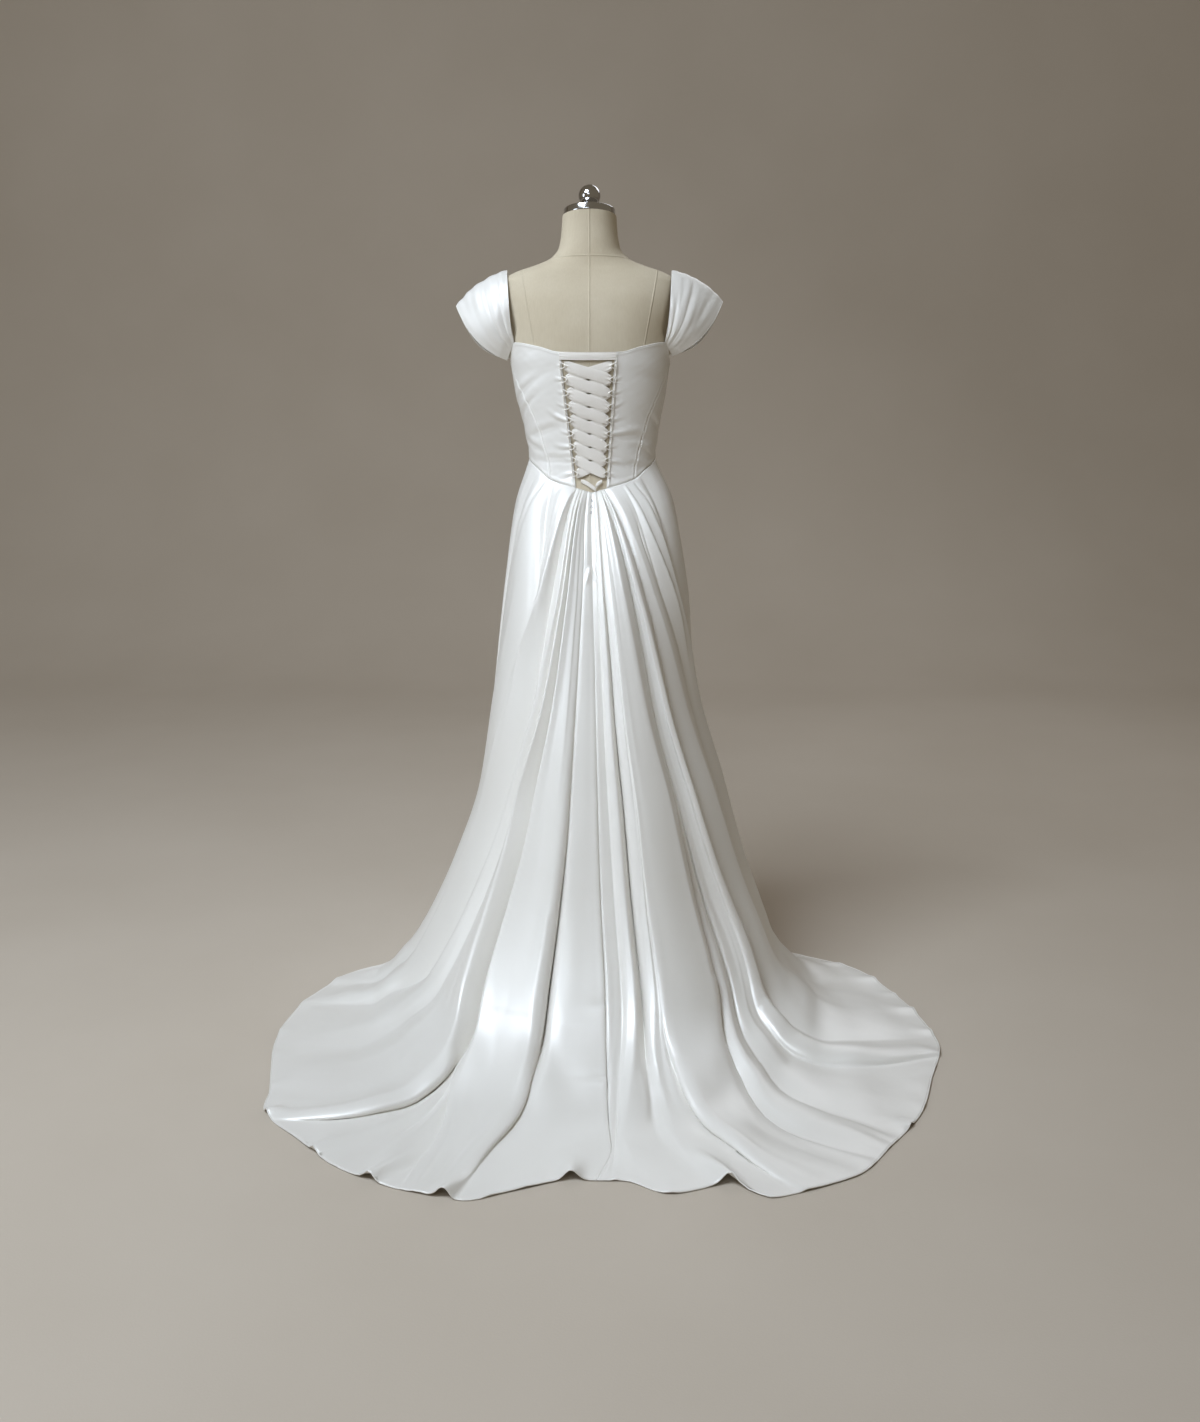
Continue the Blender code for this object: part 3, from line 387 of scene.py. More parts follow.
def plain_point(angle, station):
    # The skirt's rings joined up, with a corner where they meet the floor
    angle, station = np.broadcast_arrays(np.asarray(angle, float), np.asarray(station, float))
    turn = np.radians(angle)
    power = np.interp(station, (0, 1, 3, 4), (FORM_POWER, 2.0, 2.25, 2.2))
    side = signed_power(np.sin(turn), 2 / power)
    fore = signed_power(np.cos(turn), 2 / power)
    hang = np.minimum(station, FLOOR_STATION)
    left, right, back, front = (read(RINGS, k, hang) for k in range(2, 6))
    z = smooth(np.append(RINGS[:-1, 0], LANDING[:, 0]), np.append(RINGS[:-1, 1], LANDING[:, 1]), station)
    x = np.where(side < 0, left, right) * side
    y = -np.where(fore > 0, back, front) * fore
    at_waist = figure_point(angle, waist_height(angle), FIT_GAP)
    first_side = signed_power(np.sin(turn), 2 / FORM_POWER)
    first_fore = signed_power(np.cos(turn), 2 / FORM_POWER)
    nominal_x = np.where(side < 0, RINGS[0, 2], RINGS[0, 3]) * first_side
    nominal_y = -np.where(fore > 0, RINGS[0, 4], RINGS[0, 5]) * first_fore
    fade = np.clip(1 - station / 0.7, 0, 1) ** 2
    x = x + (at_waist[..., 0] - nominal_x) * fade
    y = y + (at_waist[..., 1] - nominal_y) * fade
    z = z + (at_waist[..., 2] - WAIST_GAP - RINGS[0, 1]) * fade
    spread = np.clip((station - FLOOR_STATION) / (HEM_STATION - FLOOR_STATION), 0, 1)
    reach = read(HEM, 1, wrap(angle))
    x = x * (1 - spread) + reach * np.sin(turn) * spread
    y = y * (1 - spread) - reach * np.cos(turn) * spread
    return np.stack([x, y, z], -1)


def swept_table():
    # Mean surface of the skirt on a fine grid of angles and stations, its corner swept round
    angles, stations = np.linspace(-180, 180, 721), np.linspace(0, HEM_STATION, 301)
    angle, station = np.meshgrid(angles, stations, indexing="ij")
    reach = 1.1 * ease((station - 2.4) / 1.6) * (1 - ease((station - 4.0) / 2.0))
    total = np.zeros(station.shape + (3,))
    for part, weight in ((-1.0, 1), (-0.66, 2), (-0.33, 3), (0.0, 3), (0.33, 3), (0.66, 2), (1.0, 1)):
        total += weight / 15 * plain_point(angle, station + part * reach)
    return total


def table_slopes(table):
    # Unit normal, and the way round the skirt for one degree, on the same fine grid
    around = np.roll(table[:-1], -1, axis=0) - np.roll(table[:-1], 1, axis=0)
    around = np.concatenate([around, around[:1]])
    normal = np.cross(np.gradient(table, axis=1), around)
    return unit(normal), around


SWEPT = swept_table()
SWEPT_NORMAL, SWEPT_AROUND = table_slopes(SWEPT)


def look_up(table, angle, station):
    # Value of one of the fine grids at any angle and station
    angle, station = np.broadcast_arrays(np.asarray(angle, float), np.asarray(station, float))
    across = (angle + 180.0) % 360.0 * 2
    down = np.clip(station, 0, HEM_STATION) * 50
    i = np.clip(across.astype(int), 0, 719)
    j = np.clip(down.astype(int), 0, 299)
    u = (across - i)[..., None]
    v = (down - j)[..., None]
    first = table[i, j] * (1 - v) + table[i, j + 1] * v
    second = table[i + 1, j] * (1 - v) + table[i + 1, j + 1] * v
    return first * (1 - u) + second * u


def base_point(angle, station):
    # Mean surface of the skirt, from the waist seam out to the hem
    return look_up(SWEPT, angle, station)


def base_frame(angle, station):
    # Unit normal, and metres round the skirt for one degree
    normal = look_up(SWEPT_NORMAL, angle, station)
    around = look_up(SWEPT_AROUND, angle, station)
    return unit(normal), np.linalg.norm(around, axis=-1)


NAMES = list(FOLDS)
COUNT = len(NAMES) + len(FRONT_FOLDS)


def fold_line(number, stations):
    # Angle, height, sharpness and overhang of one fold line at the given stations
    turn, index = divmod(number, COUNT)
    if index < len(NAMES):
        row = FOLDS[NAMES[index]]
        angle = smooth((0, 1, 1.5, 2, 3, 4, 5, 6), row[:8], stations)
        rise = (0, row[8] * 0.45, row[8] * 0.90, row[8] * 1.3, row[9] * 1.15, row[10] * 1.1, *row[11:14])
        rise = smooth((0, 0.12, 0.35, 1, 2, 3, 4, 5, 6), rise, stations)
        crisp = 2.0 * (1 - 0.50 * ease((stations - 3.3) / 0.7))
        sharp = row[14] * crisp
        aside = FLOOR_LEAN.get(NAMES[index], 0)
        lean = row[15] * ease(stations / 0.9) * (1 - ease((stations - 3.2) / 0.9))
        lean = lean + aside * ease((stations - 3.5) / 0.7) * (1 - 0.7 * ease((stations - 5.4) / 0.6))
    else:
        waist, floor, height = FRONT_FOLDS[index - len(NAMES)]
        angle = smooth((0, 1, 3, 6), (waist, waist * 0.7 + floor * 0.3, floor, floor), stations)
        rise = (0, height * 0.08, height * 0.3, height * 0.8, height, height, height)
        rise = smooth((0, 0.35, 1, 2, 3, 4, 6), rise, stations)
        sharp = 0.9 if height < 0 else 0.0
        lean = 0.0 * stations
    return angle + 360.0 * turn, rise * 0.001, sharp, lean


def end_slopes(before, first, last, after):
    # Slopes of a smooth curve at two neighbouring lines, given also the lines beyond them
    d0, d1, d2 = first - before, last - first, after - last
    start = np.where(d0 * d1 > 0, 2 * d0 * d1 / np.where(d0 + d1 == 0, 1, d0 + d1), 0)
    end = np.where(d1 * d2 > 0, 2 * d1 * d2 / np.where(d1 + d2 == 0, 1, d1 + d2), 0)
    return start, end


def skirt_angle(place, stations):
    # Angle, fold height and sideways overhang at one place between the fold lines
    near = int(math.floor(place + 1e-9))
    t = place - near
    lines = [fold_line(near + k, stations) for k in (-1, 0, 1, 2)]
    a = [line[0] for line in lines]
    r = [line[1] for line in lines]
    start, end = end_slopes(*a)
    angle = hermite(t, a[1], a[2], start, end)
    start, end = end_slopes(*r)
    gap = r[2] - r[1]
    start = np.where(np.abs(start) < 1e-9, gap * lines[1][2], start)
    end = np.where(np.abs(end) < 1e-9, gap * lines[2][2], end)
    shape = math.sin(math.pi * t) ** 1.5 if 0 < t < 1 else 0.0
    lean = np.maximum(0.0, lines[2][3]) + np.minimum(0.0, lines[1][3])
    return angle, hermite(t, r[1], r[2], start, end), 0.001 * lean * shape


def even_stations(place, rows):
    # Stations of rows spread evenly down the cloth, a little finer near the waist and the hem
    stations = np.concatenate([np.linspace(0, 1, 40)[:-1], np.linspace(1, HEM_STATION, 160)])
    line = base_point(skirt_angle(place, stations)[0], stations)
    length = np.concatenate([[0], np.cumsum(np.linalg.norm(np.diff(line, axis=0), axis=1))])
    share = np.linspace(0, 1, rows)
    share = share - 0.30 * np.sin(2 * np.pi * share) / (2 * np.pi) * (1 - 0.5 * share)
    return np.interp(share * length[-1], length, stations)


def track(table, stations):
    # Angle of a listed crease at any station, and how strong it is there
    table = np.array(table, float)
    angle = read(table, 1, stations)
    depth = read(table, 2, stations)
    inside = (stations >= table[0, 0]) & (stations <= table[-1, 0])
    return angle, depth * inside


# Listed creases of the skirt. Each is a kind and a width in millimetres, then rows of
# station, degrees from centre back, height in millimetres. A groove is level on both sides; a
# step is raised on the side its sign says and dies away from the line
CREASES = (
    ("step+", 20, ((0.0, -23, 0.0), (0.1, -24.5, 4.0), (0.5, -29, 6.0), (1.0, -36.2, 5.5),
                  (1.5, -50, 3.0), (1.8, -58, 0.0))),
    ("groove", 5, ((0.02, -21, 0.0), (0.25, -24, -2.0), (0.8, -30, -2.5), (1.2, -36, 0.0))),
    ("groove", 9, ((0.0, -42, 0.0), (0.15, -48, -4.0), (0.6, -62, -4.0), (0.95, -70, 0.0))),
    ("groove", 8, ((0.9, -58, 0.0), (1.2, -66, -3.0), (1.7, -82, 0.0))),
    ("step-", 20, ((0.0, 27, 0.0), (0.15, 31, 4.5), (0.5, 40, 6.0), (1.0, 56, 5.5), (1.4, 72, 0.0))),
    ("groove", 7, ((0.0, 36, 0.0), (0.15, 41, -3.5), (0.5, 50, -4.0), (0.8, 60, 0.0))),
    ("groove", 6, ((0.4, 30, 0.0), (0.6, 33, -2.5), (1.0, 44, 0.0))),
)


def crease_height(angle, stations, degree):
    # Metres that the listed creases add to the surface
    total = np.zeros_like(angle)
    for kind, width, table in CREASES:
        middle, depth = track(table, stations)
        away = (angle - middle) * degree * 1000
        if kind == "groove":
            total += depth * bell(away, 0, width * 0.5)
        else:
            sign = 1.0 if kind.endswith("+") else -1.0
            side = away * sign
            total += depth * ease((side + 1.5) / 3.0) * np.exp(-np.maximum(side, 0) / width)
    return total * 0.001


# Meshes
def grid_normals(points):
    normal = np.cross(np.gradient(points, axis=1), np.gradient(points, axis=0))
    size = np.linalg.norm(normal, axis=-1, keepdims=True)
    return normal / np.where(size < 1e-12, 1, size)


def grid_quads(index):
    return np.stack([index[:-1, :-1], index[:-1, 1:], index[1:, 1:], index[1:, :-1]], -1).reshape(-1, 4)


def shell_parts(points, wall, centre, level=0.0):
    # A closed thin wall on a grid: a fine face away from the centre, and one towards it half as fine.
    # The level is the share of the wall that lies on the grid's inner side
    away = points - np.asarray(centre, float)
    if float((grid_normals(points) * away).sum()) < 0:
        points = points[:, ::-1]
    normal = grid_normals(points)
    outer = points + normal * wall * (1 - level)
    inner = (points - normal * wall * level)[::2, ::2]
    first = np.arange(outer[..., 0].size).reshape(outer.shape[:2])
    second = first.size + np.arange(inner[..., 0].size).reshape(inner.shape[:2])
    rims = [np.concatenate([g[0, :-1], g[:-1, -1], g[-1, :0:-1], g[:0:-1, 0]]) for g in (first, second)]
    big, small = rims
    after = np.roll(small, -1)
    tris = [np.stack([small, big[1::2], big[0::2]], -1), np.stack([small, after, big[1::2]], -1),
            np.stack([after, np.roll(big, -2)[0::2], big[1::2]], -1)]
    vertices = np.concatenate([outer.reshape(-1, 3), inner.reshape(-1, 3)])
    return vertices, np.concatenate([grid_quads(first), grid_quads(second.T)]), np.concatenate(tris)


def ring_parts(rings, ends):
    # Closed rings joined one to the next, and each end closed with a fan to its middle point
    rings = np.asarray(rings)
    rows, columns = rings.shape[:2]
    index = np.arange(rows * columns).reshape(rows, columns)
    after = np.roll(index, -1, axis=1)
    quads = np.stack([index[:-1], after[:-1], after[1:], index[1:]], -1).reshape(-1, 4)
    foot = np.full(columns, rows * columns)
    tris = [np.stack([after[0], index[0], foot], -1), np.stack([index[-1], after[-1], foot + 1], -1)]
    return np.concatenate([rings.reshape(-1, 3), ends]), quads, np.concatenate(tris)


def tube_parts(line, radius, sides=8):
    # A round cord along a line, with closed ends
    line = np.asarray(line, float)
    radius = np.broadcast_to(np.asarray(radius, float), (len(line),))
    heading = unit(np.gradient(line, axis=0))
    across = np.cross(heading[0], (0.0, 0.0, 1.0))
    if np.linalg.norm(across) < 1e-3:
        across = np.cross(heading[0], (1.0, 0.0, 0.0))
    turn = (np.arange(sides) / sides * 2 * np.pi)[:, None]
    rings = []
    for point, size, way in zip(line, radius, heading):
        across = unit(across - way * float(across @ way))
        rings.append(point + size * (np.cos(turn) * across + np.sin(turn) * np.cross(way, across)))
    return ring_parts(rings, line[[0, -1]])


def turned_parts(profile, steps=96):
    # An outline run from the top of the axis to its foot, spun round Z
    profile = np.asarray(profile, float)[::-1]
    turn = np.arange(steps) / steps * 2 * np.pi
    reach, level = profile[1:-1, :1], profile[1:-1, 1:]
    rings = np.stack([reach * np.cos(turn), reach * np.sin(turn), level + 0 * turn], -1)
    return ring_parts(rings, [(0, 0, profile[0, 1]), (0, 0, profile[-1, 1])])


def rounded(corners, radius, steps=5):
    # A profile with its inner corners rounded
    corners = [np.asarray(c, float) for c in corners]
    out = [corners[0]]
    for before, here, after in zip(corners[:-2], corners[1:-1], corners[2:]):
        back, forth = before - here, after - here
        size = min(radius, 0.45 * np.linalg.norm(back), 0.45 * np.linalg.norm(forth))
        start = here + unit(back) * size
        end = here + unit(forth) * size
        for t in np.linspace(0, 1, steps):
            out.append((1 - t) ** 2 * start + 2 * t * (1 - t) * here + t * t * end)
    out.append(corners[-1])
    return np.array(out)


def make_object(name, parts, material, crease=70):
    # One mesh of several parts; edges bent by more than the crease angle stay sharp
    starts = np.cumsum([0] + [len(part[0]) for part in parts])
    vertices = np.concatenate([part[0] for part in parts]).astype(np.float32)
    quads = np.concatenate([part[1] + start for part, start in zip(parts, starts)]).astype(np.int32)
    tris = np.concatenate([part[2] + start for part, start in zip(parts, starts)]).astype(np.int32)
    mesh = bpy.data.meshes.new(name)
    mesh.vertices.add(len(vertices))
    mesh.vertices.foreach_set("co", vertices.ravel())
    mesh.loops.add(quads.size + tris.size)
    mesh.loops.foreach_set("vertex_index", np.concatenate([quads.ravel(), tris.ravel()]))
    mesh.polygons.add(len(quads) + len(tris))
    starts = np.concatenate([np.arange(len(quads)) * 4, quads.size + np.arange(len(tris)) * 3])
    mesh.polygons.foreach_set("loop_start", starts.astype(np.int32))
    mesh.polygons.foreach_set("use_smooth", np.ones(len(starts), bool))
    mesh.update(calc_edges=True)
    mesh.validate()
    mesh.set_sharp_from_angle(angle=math.radians(crease))
    mesh.materials.append(material)
    item = bpy.data.objects.new(name, mesh)
    bpy.context.scene.collection.objects.link(item)
    return item


def make_piece(name, parts, look, node, crease=70):
    # A fine piece that takes the place of one CAD node
    item = make_object(name, parts, LOOKS[look], crease)
    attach(item, "root")
    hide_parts(node)
    return item


def sew(node, parts, look="satin", crease=70):
    make_piece(node + "_satin", parts, look, node, crease)


# Materials
class Look:
    # A node material: its principled shader, and a few helpers to wire it
    def __init__(self, name, colour, roughness, **sockets):
        self.name = name
        self.material = bpy.data.materials.new(name)
        self.material.use_nodes = True
        self.tree = self.material.node_tree
        self.shader = self.tree.nodes["Principled BSDF"]
        self.shader.inputs["Base Color"].default_value = (*colour, 1.0)
        self.shader.inputs["Roughness"].default_value = roughness
        for socket, value in sockets.items():
            self.shader.inputs[socket.replace("_", " ")].default_value = value
        self.place = self.node("ShaderNodeTexCoord").outputs["Object"]

    def node(self, kind, sockets=None, **settings):
        made = self.tree.nodes.new(kind)
        for name, value in settings.items():
            setattr(made, name, value)
        for name, source in (sockets or {}).items():
            self.link(source, made.inputs[name])
        return made

    def link(self, source, target):
        # Another node's output is linked, and a plain value is set
        if isinstance(source, bpy.types.NodeSocket):
            self.tree.links.new(source, target)
        else:
            target.default_value = source

    def set(self, socket, source):
        self.link(source, self.shader.inputs[socket])

    def math(self, operation, first, second=0.0, clamp=False):
        made = self.node("ShaderNodeMath", {0: first, 1: second}, operation=operation, use_clamp=clamp)
        return made.outputs[0]

    def gap(self, first, second):
        return self.math("ABSOLUTE", self.math("SUBTRACT", first, second))

    def noise(self, scale, detail=3.0, size=(1, 1, 1)):
        place = self.node("ShaderNodeMapping", {"Scale": size, "Vector": self.place}).outputs["Vector"]
        made = self.node("ShaderNodeTexNoise", {"Scale": scale, "Detail": detail, "Vector": place})
        return made.outputs["Fac"]

    def ramp(self, value, *stops):
        made = self.node("ShaderNodeValToRGB", {"Fac": value})
        for element, (position, colour) in zip(made.color_ramp.elements, stops):
            element.position = position
            element.color = (*colour, 1.0)
        return made.outputs["Color"]

    def bump(self, height, distance, strength, before=None):
        made = self.node("ShaderNodeBump", {"Distance": distance, "Strength": strength, "Height": height})
        if before is not None:
            self.link(before, made.inputs["Normal"])
        return made.outputs["Normal"]

    def weave(self, thread):
        # Crossed fine threads
        waves = []
        for direction in ("X", "Z"):
            sockets = {"Scale": 0.314 / thread, "Distortion": 1.2, "Detail": 1.0, "Vector": self.place}
            wave = self.node("ShaderNodeTexWave", sockets, wave_type="BANDS", bands_direction=direction)
            waves.append(wave.outputs["Fac"])
        return self.math("ADD", *waves)

    def mottle(self, scale, dark, light, detail=3.0):
        # Colour in soft patches of two near tones
        self.set("Base Color", self.ramp(self.noise(scale, detail), (0.3, dark), (0.7, light)))

    def gloss(self, scale, low, high, detail=3.0, size=(1, 1, 1)):
        # Roughness that wanders between two values
        sockets = {"To Min": low, "To Max": high, "Value": self.noise(scale, detail, size)}
        self.set("Roughness", self.node("ShaderNodeMapRange", sockets).outputs["Result"])

    def grain(self, scale, distance, strength, detail=2.0, size=(1, 1, 1), before=None):
        # A finely uneven surface
        self.set("Normal", self.bump(self.noise(scale, detail, size), distance, strength, before))


def linen_look():
    linen = Look("linen", (0.58, 0.52, 0.41), 0.88, Sheen_Weight=0.06, Specular_IOR_Level=0.25)
    threads = linen.weave(0.0009)
    large = linen.math("MULTIPLY", linen.noise(9.0, 5.0), 0.7)
    small = linen.math("MULTIPLY", linen.noise(420.0, 2.0, (1, 1, 0.15)), 0.3)
    stops = ((0.34, (0.560, 0.482, 0.352)), (0.66, (0.630, 0.555, 0.422)))
    linen.set("Base Color", linen.ramp(linen.math("ADD", large, small), *stops))
    # Seams of the cover: centre, slanted side panels, foot of the neck, and top of the shoulders
    x, y, z = linen.node("ShaderNodeSeparateXYZ", {0: linen.place}).outputs
    side = linen.math("ABSOLUTE", x)
    slant = linen.math("MULTIPLY", linen.math("SUBTRACT", z, 1.310), 0.185)
    seam = linen.gap(side, linen.math("ADD", 0.1030, slant))
    neck = linen.gap(linen.math("ADD", z, linen.math("MULTIPLY", y, 0.12)), 1.4720)
    crown = linen.math("ADD", linen.gap(y, 0.004), linen.math("LESS_THAN", z, 1.405))
    nearest = linen.math("MINIMUM", linen.math("MINIMUM", side, seam), linen.math("MINIMUM", neck, crown))
    line = linen.math("SUBTRACT", 1.0, linen.math("DIVIDE", nearest, 0.0022), clamp=True)
    linen.set("Normal", linen.bump(threads, 0.00018, 0.55, linen.bump(line, 0.0011, 0.8)))
    return linen


def make_looks():
    satin = Look("satin", (0.836, 0.814, 0.767), 0.38, Specular_IOR_Level=0.5, IOR=1.72, Metallic=0.12)
    satin.mottle(5.0, (0.822, 0.800, 0.752), (0.850, 0.828, 0.782), 4.0)
    satin.gloss(14.0, 0.36, 0.45, 3.0, (1, 1, 0.4))
    soft = satin.bump(satin.noise(22.0, 2.0, (1, 1, 0.35)), 0.0016, 0.35)
    satin.grain(900.0, 0.00006, 0.5, 2.0, (1, 1, 0.3), soft)

    ribbon = Look("ribbon_satin", (0.80, 0.755, 0.69), 0.40, Specular_IOR_Level=0.55, Sheen_Weight=0.10)
    ribbon.mottle(30.0, (0.775, 0.730, 0.665), (0.82, 0.78, 0.72))
    ribbon.grain(260.0, 0.0002, 0.6, 3.0, (1.0, 1.0, 0.4))

    cord = Look("rouleau_satin", (0.84, 0.80, 0.73), 0.45, Sheen_Weight=0.10)
    cord.mottle(60.0, (0.80, 0.755, 0.69), (0.87, 0.83, 0.76))
    cord.grain(700.0, 0.0002, 0.6)

    chrome = Look("chrome", (0.60, 0.60, 0.61), 0.10, Metallic=1.0)
    chrome.gloss(40.0, 0.06, 0.16, 4.0)
    chrome.mottle(12.0, (0.56, 0.56, 0.57), (0.66, 0.66, 0.67))
    chrome.grain(300.0, 0.00003, 0.3)

    steel = Look("base_steel", (0.32, 0.32, 0.33), 0.35, Metallic=1.0)
    steel.gloss(60.0, 0.28, 0.48, 4.0)
    steel.mottle(25.0, (0.27, 0.27, 0.28), (0.36, 0.36, 0.37))

    wire = Look("hook_wire", (0.30, 0.30, 0.31), 0.35, Metallic=1.0)
    wire.gloss(400.0, 0.25, 0.5)
    wire.mottle(300.0, (0.24, 0.24, 0.25), (0.36, 0.36, 0.37))
    return {look.name: look.material for look in (satin, ribbon, cord, linen_look(), chrome, steel, wire)}


LOOKS = make_looks()


# Dress form
def build_form():
    heights = np.concatenate([np.linspace(0.790, 1.42, 70)[:-1], np.linspace(1.42, NECK_TOP, 46)])
    angles, heights = np.meshgrid(np.linspace(-180, 180, 161)[:-1], heights)
    points = figure_point(angles, heights, 0.0, FORM_SWELL)
    lean = math.tan(NECK_TILT) * smooth((0.7, NECK_FOOT, NECK_TOP), (0, 0, 1), heights)
    points[..., 2] -= lean * (points[..., 1] - NECK_Y)
    # The armhole plates are flatter than the body round them
    for sign in (-1, 1):
        over = points[..., 2] - PLATE_HEIGHT
        plate = (over / PLATE_TALL) ** 2 + (points[..., 1] / PLATE_DEEP) ** 2
        inside = ease((1.02 - plate) / 0.10) * (points[..., 0] * sign > 0.08)
        move = (sign * (PLATE_X + over * PLATE_LEAN) - points[..., 0]) * inside * 0.45
        points[..., 0] += np.where(move * sign < 0, move, 0)
    parts = [ring_parts(points, [points[0].mean(axis=0), points[-1].mean(axis=0)])]
    make_piece("form_body", parts, "linen", "form_torso", 50)

    low = CAP_RADIUS - 0.0022
    cap = rounded(((0, CAP_HEIGHT), (low - 0.008, CAP_HEIGHT), (low - 0.007, CAP_HEIGHT - 0.0006),
                   (low, CAP_HEIGHT - 0.0004), (CAP_RADIUS, CAP_HEIGHT - 0.0022), (CAP_RADIUS, 0.002),
                   (CAP_RADIUS - 0.0008, 0.0), (0, 0)), 0.0012)
    make_piece("neck_cap_chrome", [tilted(turned_parts(cap), 0.0006)], "chrome", "neck_cap", 40)
    middle = STEM_HEIGHT + BALL_RADIUS * 0.93
    turn = np.radians(np.arange(0, 157, 4))
    ball = np.stack([BALL_RADIUS * np.sin(turn), middle + BALL_RADIUS * np.cos(turn)], -1)
    stem = ((STEM_RADIUS, STEM_HEIGHT + 0.001), (STEM_RADIUS, STEM_HEIGHT - 0.0012),
            (STEM_RADIUS * 1.25, 0.0034), (STEM_RADIUS * 1.5, 0.0026), (STEM_RADIUS * 1.5, 0.0004),
            (STEM_RADIUS * 1.45, 0.0), (0, 0))
    parts = [tilted(turned_parts(np.concatenate([ball, stem]), 72), CAP_HEIGHT + 0.0009)]
    make_piece("finial_chrome", parts, "chrome", "finial", 40)


def tilted(parts, along):
    # Parts above the neck share its forward tilt
    vertices, quads, tris = parts
    x, y, z = vertices[:, 0], vertices[:, 1], vertices[:, 2] + along
    c, s = math.cos(NECK_TILT), math.sin(NECK_TILT)
    return np.stack([x, NECK_Y + y * c + z * s, NECK_TOP - y * s + z * c], -1), quads, tris


# Bodice
# Drag wrinkles from the lacing loops: loop number from the top, length, rise at the outer end,
# half width and height, in millimetres
DRAG_LEFT = (
    (0, 16, 2, 3.0, 0.8), (1, 22, 4, 3.0, 1.2), (2, 20, 6, 3.0, 1.0), (3, 24, 9, 3.0, 1.1),
    (4, 46, 22, 4.5, 2.0), (5, 24, 8, 3.2, 1.1), (6, 42, 4, 4.5, 1.6), (7, 24, 3, 3.2, 1.1),
    (8, 26, -3, 3.5, 1.2),
)
DRAG_RIGHT = (
    (0, 14, 3, 3.0, 0.7), (1, 20, 6, 3.0, 1.1), (2, 20, 7, 3.0, 1.0), (3, 26, 9, 3.0, 1.1),
    (4, 24, 7, 3.2, 1.1), (5, 58, 7, 5.0, 2.1), (6, 22, 5, 3.2, 1.1), (7, 50, -8, 5.0, 1.7),
    (8, 30, -6, 4.0, 1.2),
)
# Broad soft dents of the bodice: degrees from centre back, height, half width round, half height,
# slant, and rise in millimetres
DENTS = (
    (-62, 1.225, 0.050, 0.007, 0.55, -1.6), (-66, 1.190, 0.045, 0.006, 0.60, -1.4),
    (-44, 1.150, 0.050, 0.008, 0.25, -1.5), (-60, 1.120, 0.040, 0.007, -0.30, -1.3),
    (-34, 1.098, 0.050, 0.007, 0.05, -1.4), (-48, 1.262, 0.060, 0.012, 0.15, -0.9),
    (40, 1.140, 0.055, 0.008, -0.10, -1.5), (58, 1.106, 0.050, 0.008, -0.35, -1.7),
    (46, 1.082, 0.050, 0.007, -0.30, -1.4), (66, 1.165, 0.040, 0.007, -0.50, -1.3),
    (52, 1.250, 0.060, 0.012, -0.20, -0.9), (100, 1.120, 0.050, 0.008, 0.25, -1.2),
    (-98, 1.125, 0.050, 0.008, -0.25, -1.3), (130, 1.150, 0.045, 0.008, -0.35, -1.1),
    (-134, 1.146, 0.045, 0.008, 0.35, -1.2), (168, 1.120, 0.060, 0.008, 0.15, -1.1),
    (-164, 1.168, 0.060, 0.009, -0.12, -1.0), (150, 1.205, 0.040, 0.009, 0.20, -0.8),
)


def knot_height(index):
    return KNOT_TOP - KNOT_PITCH * index


def bodice_relief(angle, height, points):
    # Height of the satin's small folds over the smooth panel, in metres
    total = np.zeros_like(height)
    for table, sign in ((DRAG_LEFT, -1.0), (DRAG_RIGHT, 1.0)):
        for index, length, rise, width, up in table:
            level = knot_height(index)
            run = (points[..., 0] - float(opening_x(level, sign > 0))) * sign * 1000
            share = np.clip(run / length, 0, 1)
            line = level * 1000 + rise * share ** 1.3
            fade = np.where((run > -4) & (np.abs(wrap(angle)) < 90), (1 - ease(run / length)), 0)
            away = (height * 1000 - line) / (width * (0.55 + 0.9 * share))
            total += DRAG_GAIN * up * fade * (bell(away, 0, 1) - 0.55 * bell(away, -2.1, 1.1))
    for middle, level, half_round, half_tall, slant, up in DENTS:
        along = np.radians(wrap(angle - middle)) * BODY_RADIUS
        away = height - level - slant * along
        dent = 1.25 * bell(away, 0, half_tall) - 0.75 * bell(away, 2 * half_tall, half_tall)
        total += up * bell(along, 0, half_round) * dent
    total += 0.06 * ripple(np.radians(angle) * BODY_RADIUS, height, 0.030, 0.014, 5)
    return total * 0.001


def bodice_grid(first, second, rows, columns):
    # Angles and heights of a panel, with finer rows and columns along its edges
    across = np.linspace(0, 1, columns)[None, :]
    across = (0.5 - 0.5 * np.cos(np.pi * across)) * 0.55 + across * 0.45
    up = np.linspace(0, 1, rows)[:, None]
    up = (0.5 - 0.5 * np.cos(np.pi * up)) * 0.35 + up * 0.65
    height = np.full((rows, columns), 1.18)
    for _ in range(14):
        angle = first(height) * (1 - across) + second(height) * across
        height = (waist_height(angle) + WAIST_GAP * 0.4) * (1 - up) + top_height(angle) * up
    return angle, height


def edge_distance(points, axis, end):
    # Metres along the grid from one of its edges
    step = np.linalg.norm(np.diff(points, axis=axis), axis=-1)
    shape = list(points.shape[:2])
    shape[axis] = 1
    total = np.concatenate([np.zeros(shape), np.cumsum(step, axis=axis)], axis=axis)
    return np.take(total, [-1], axis=axis) - total if end else total


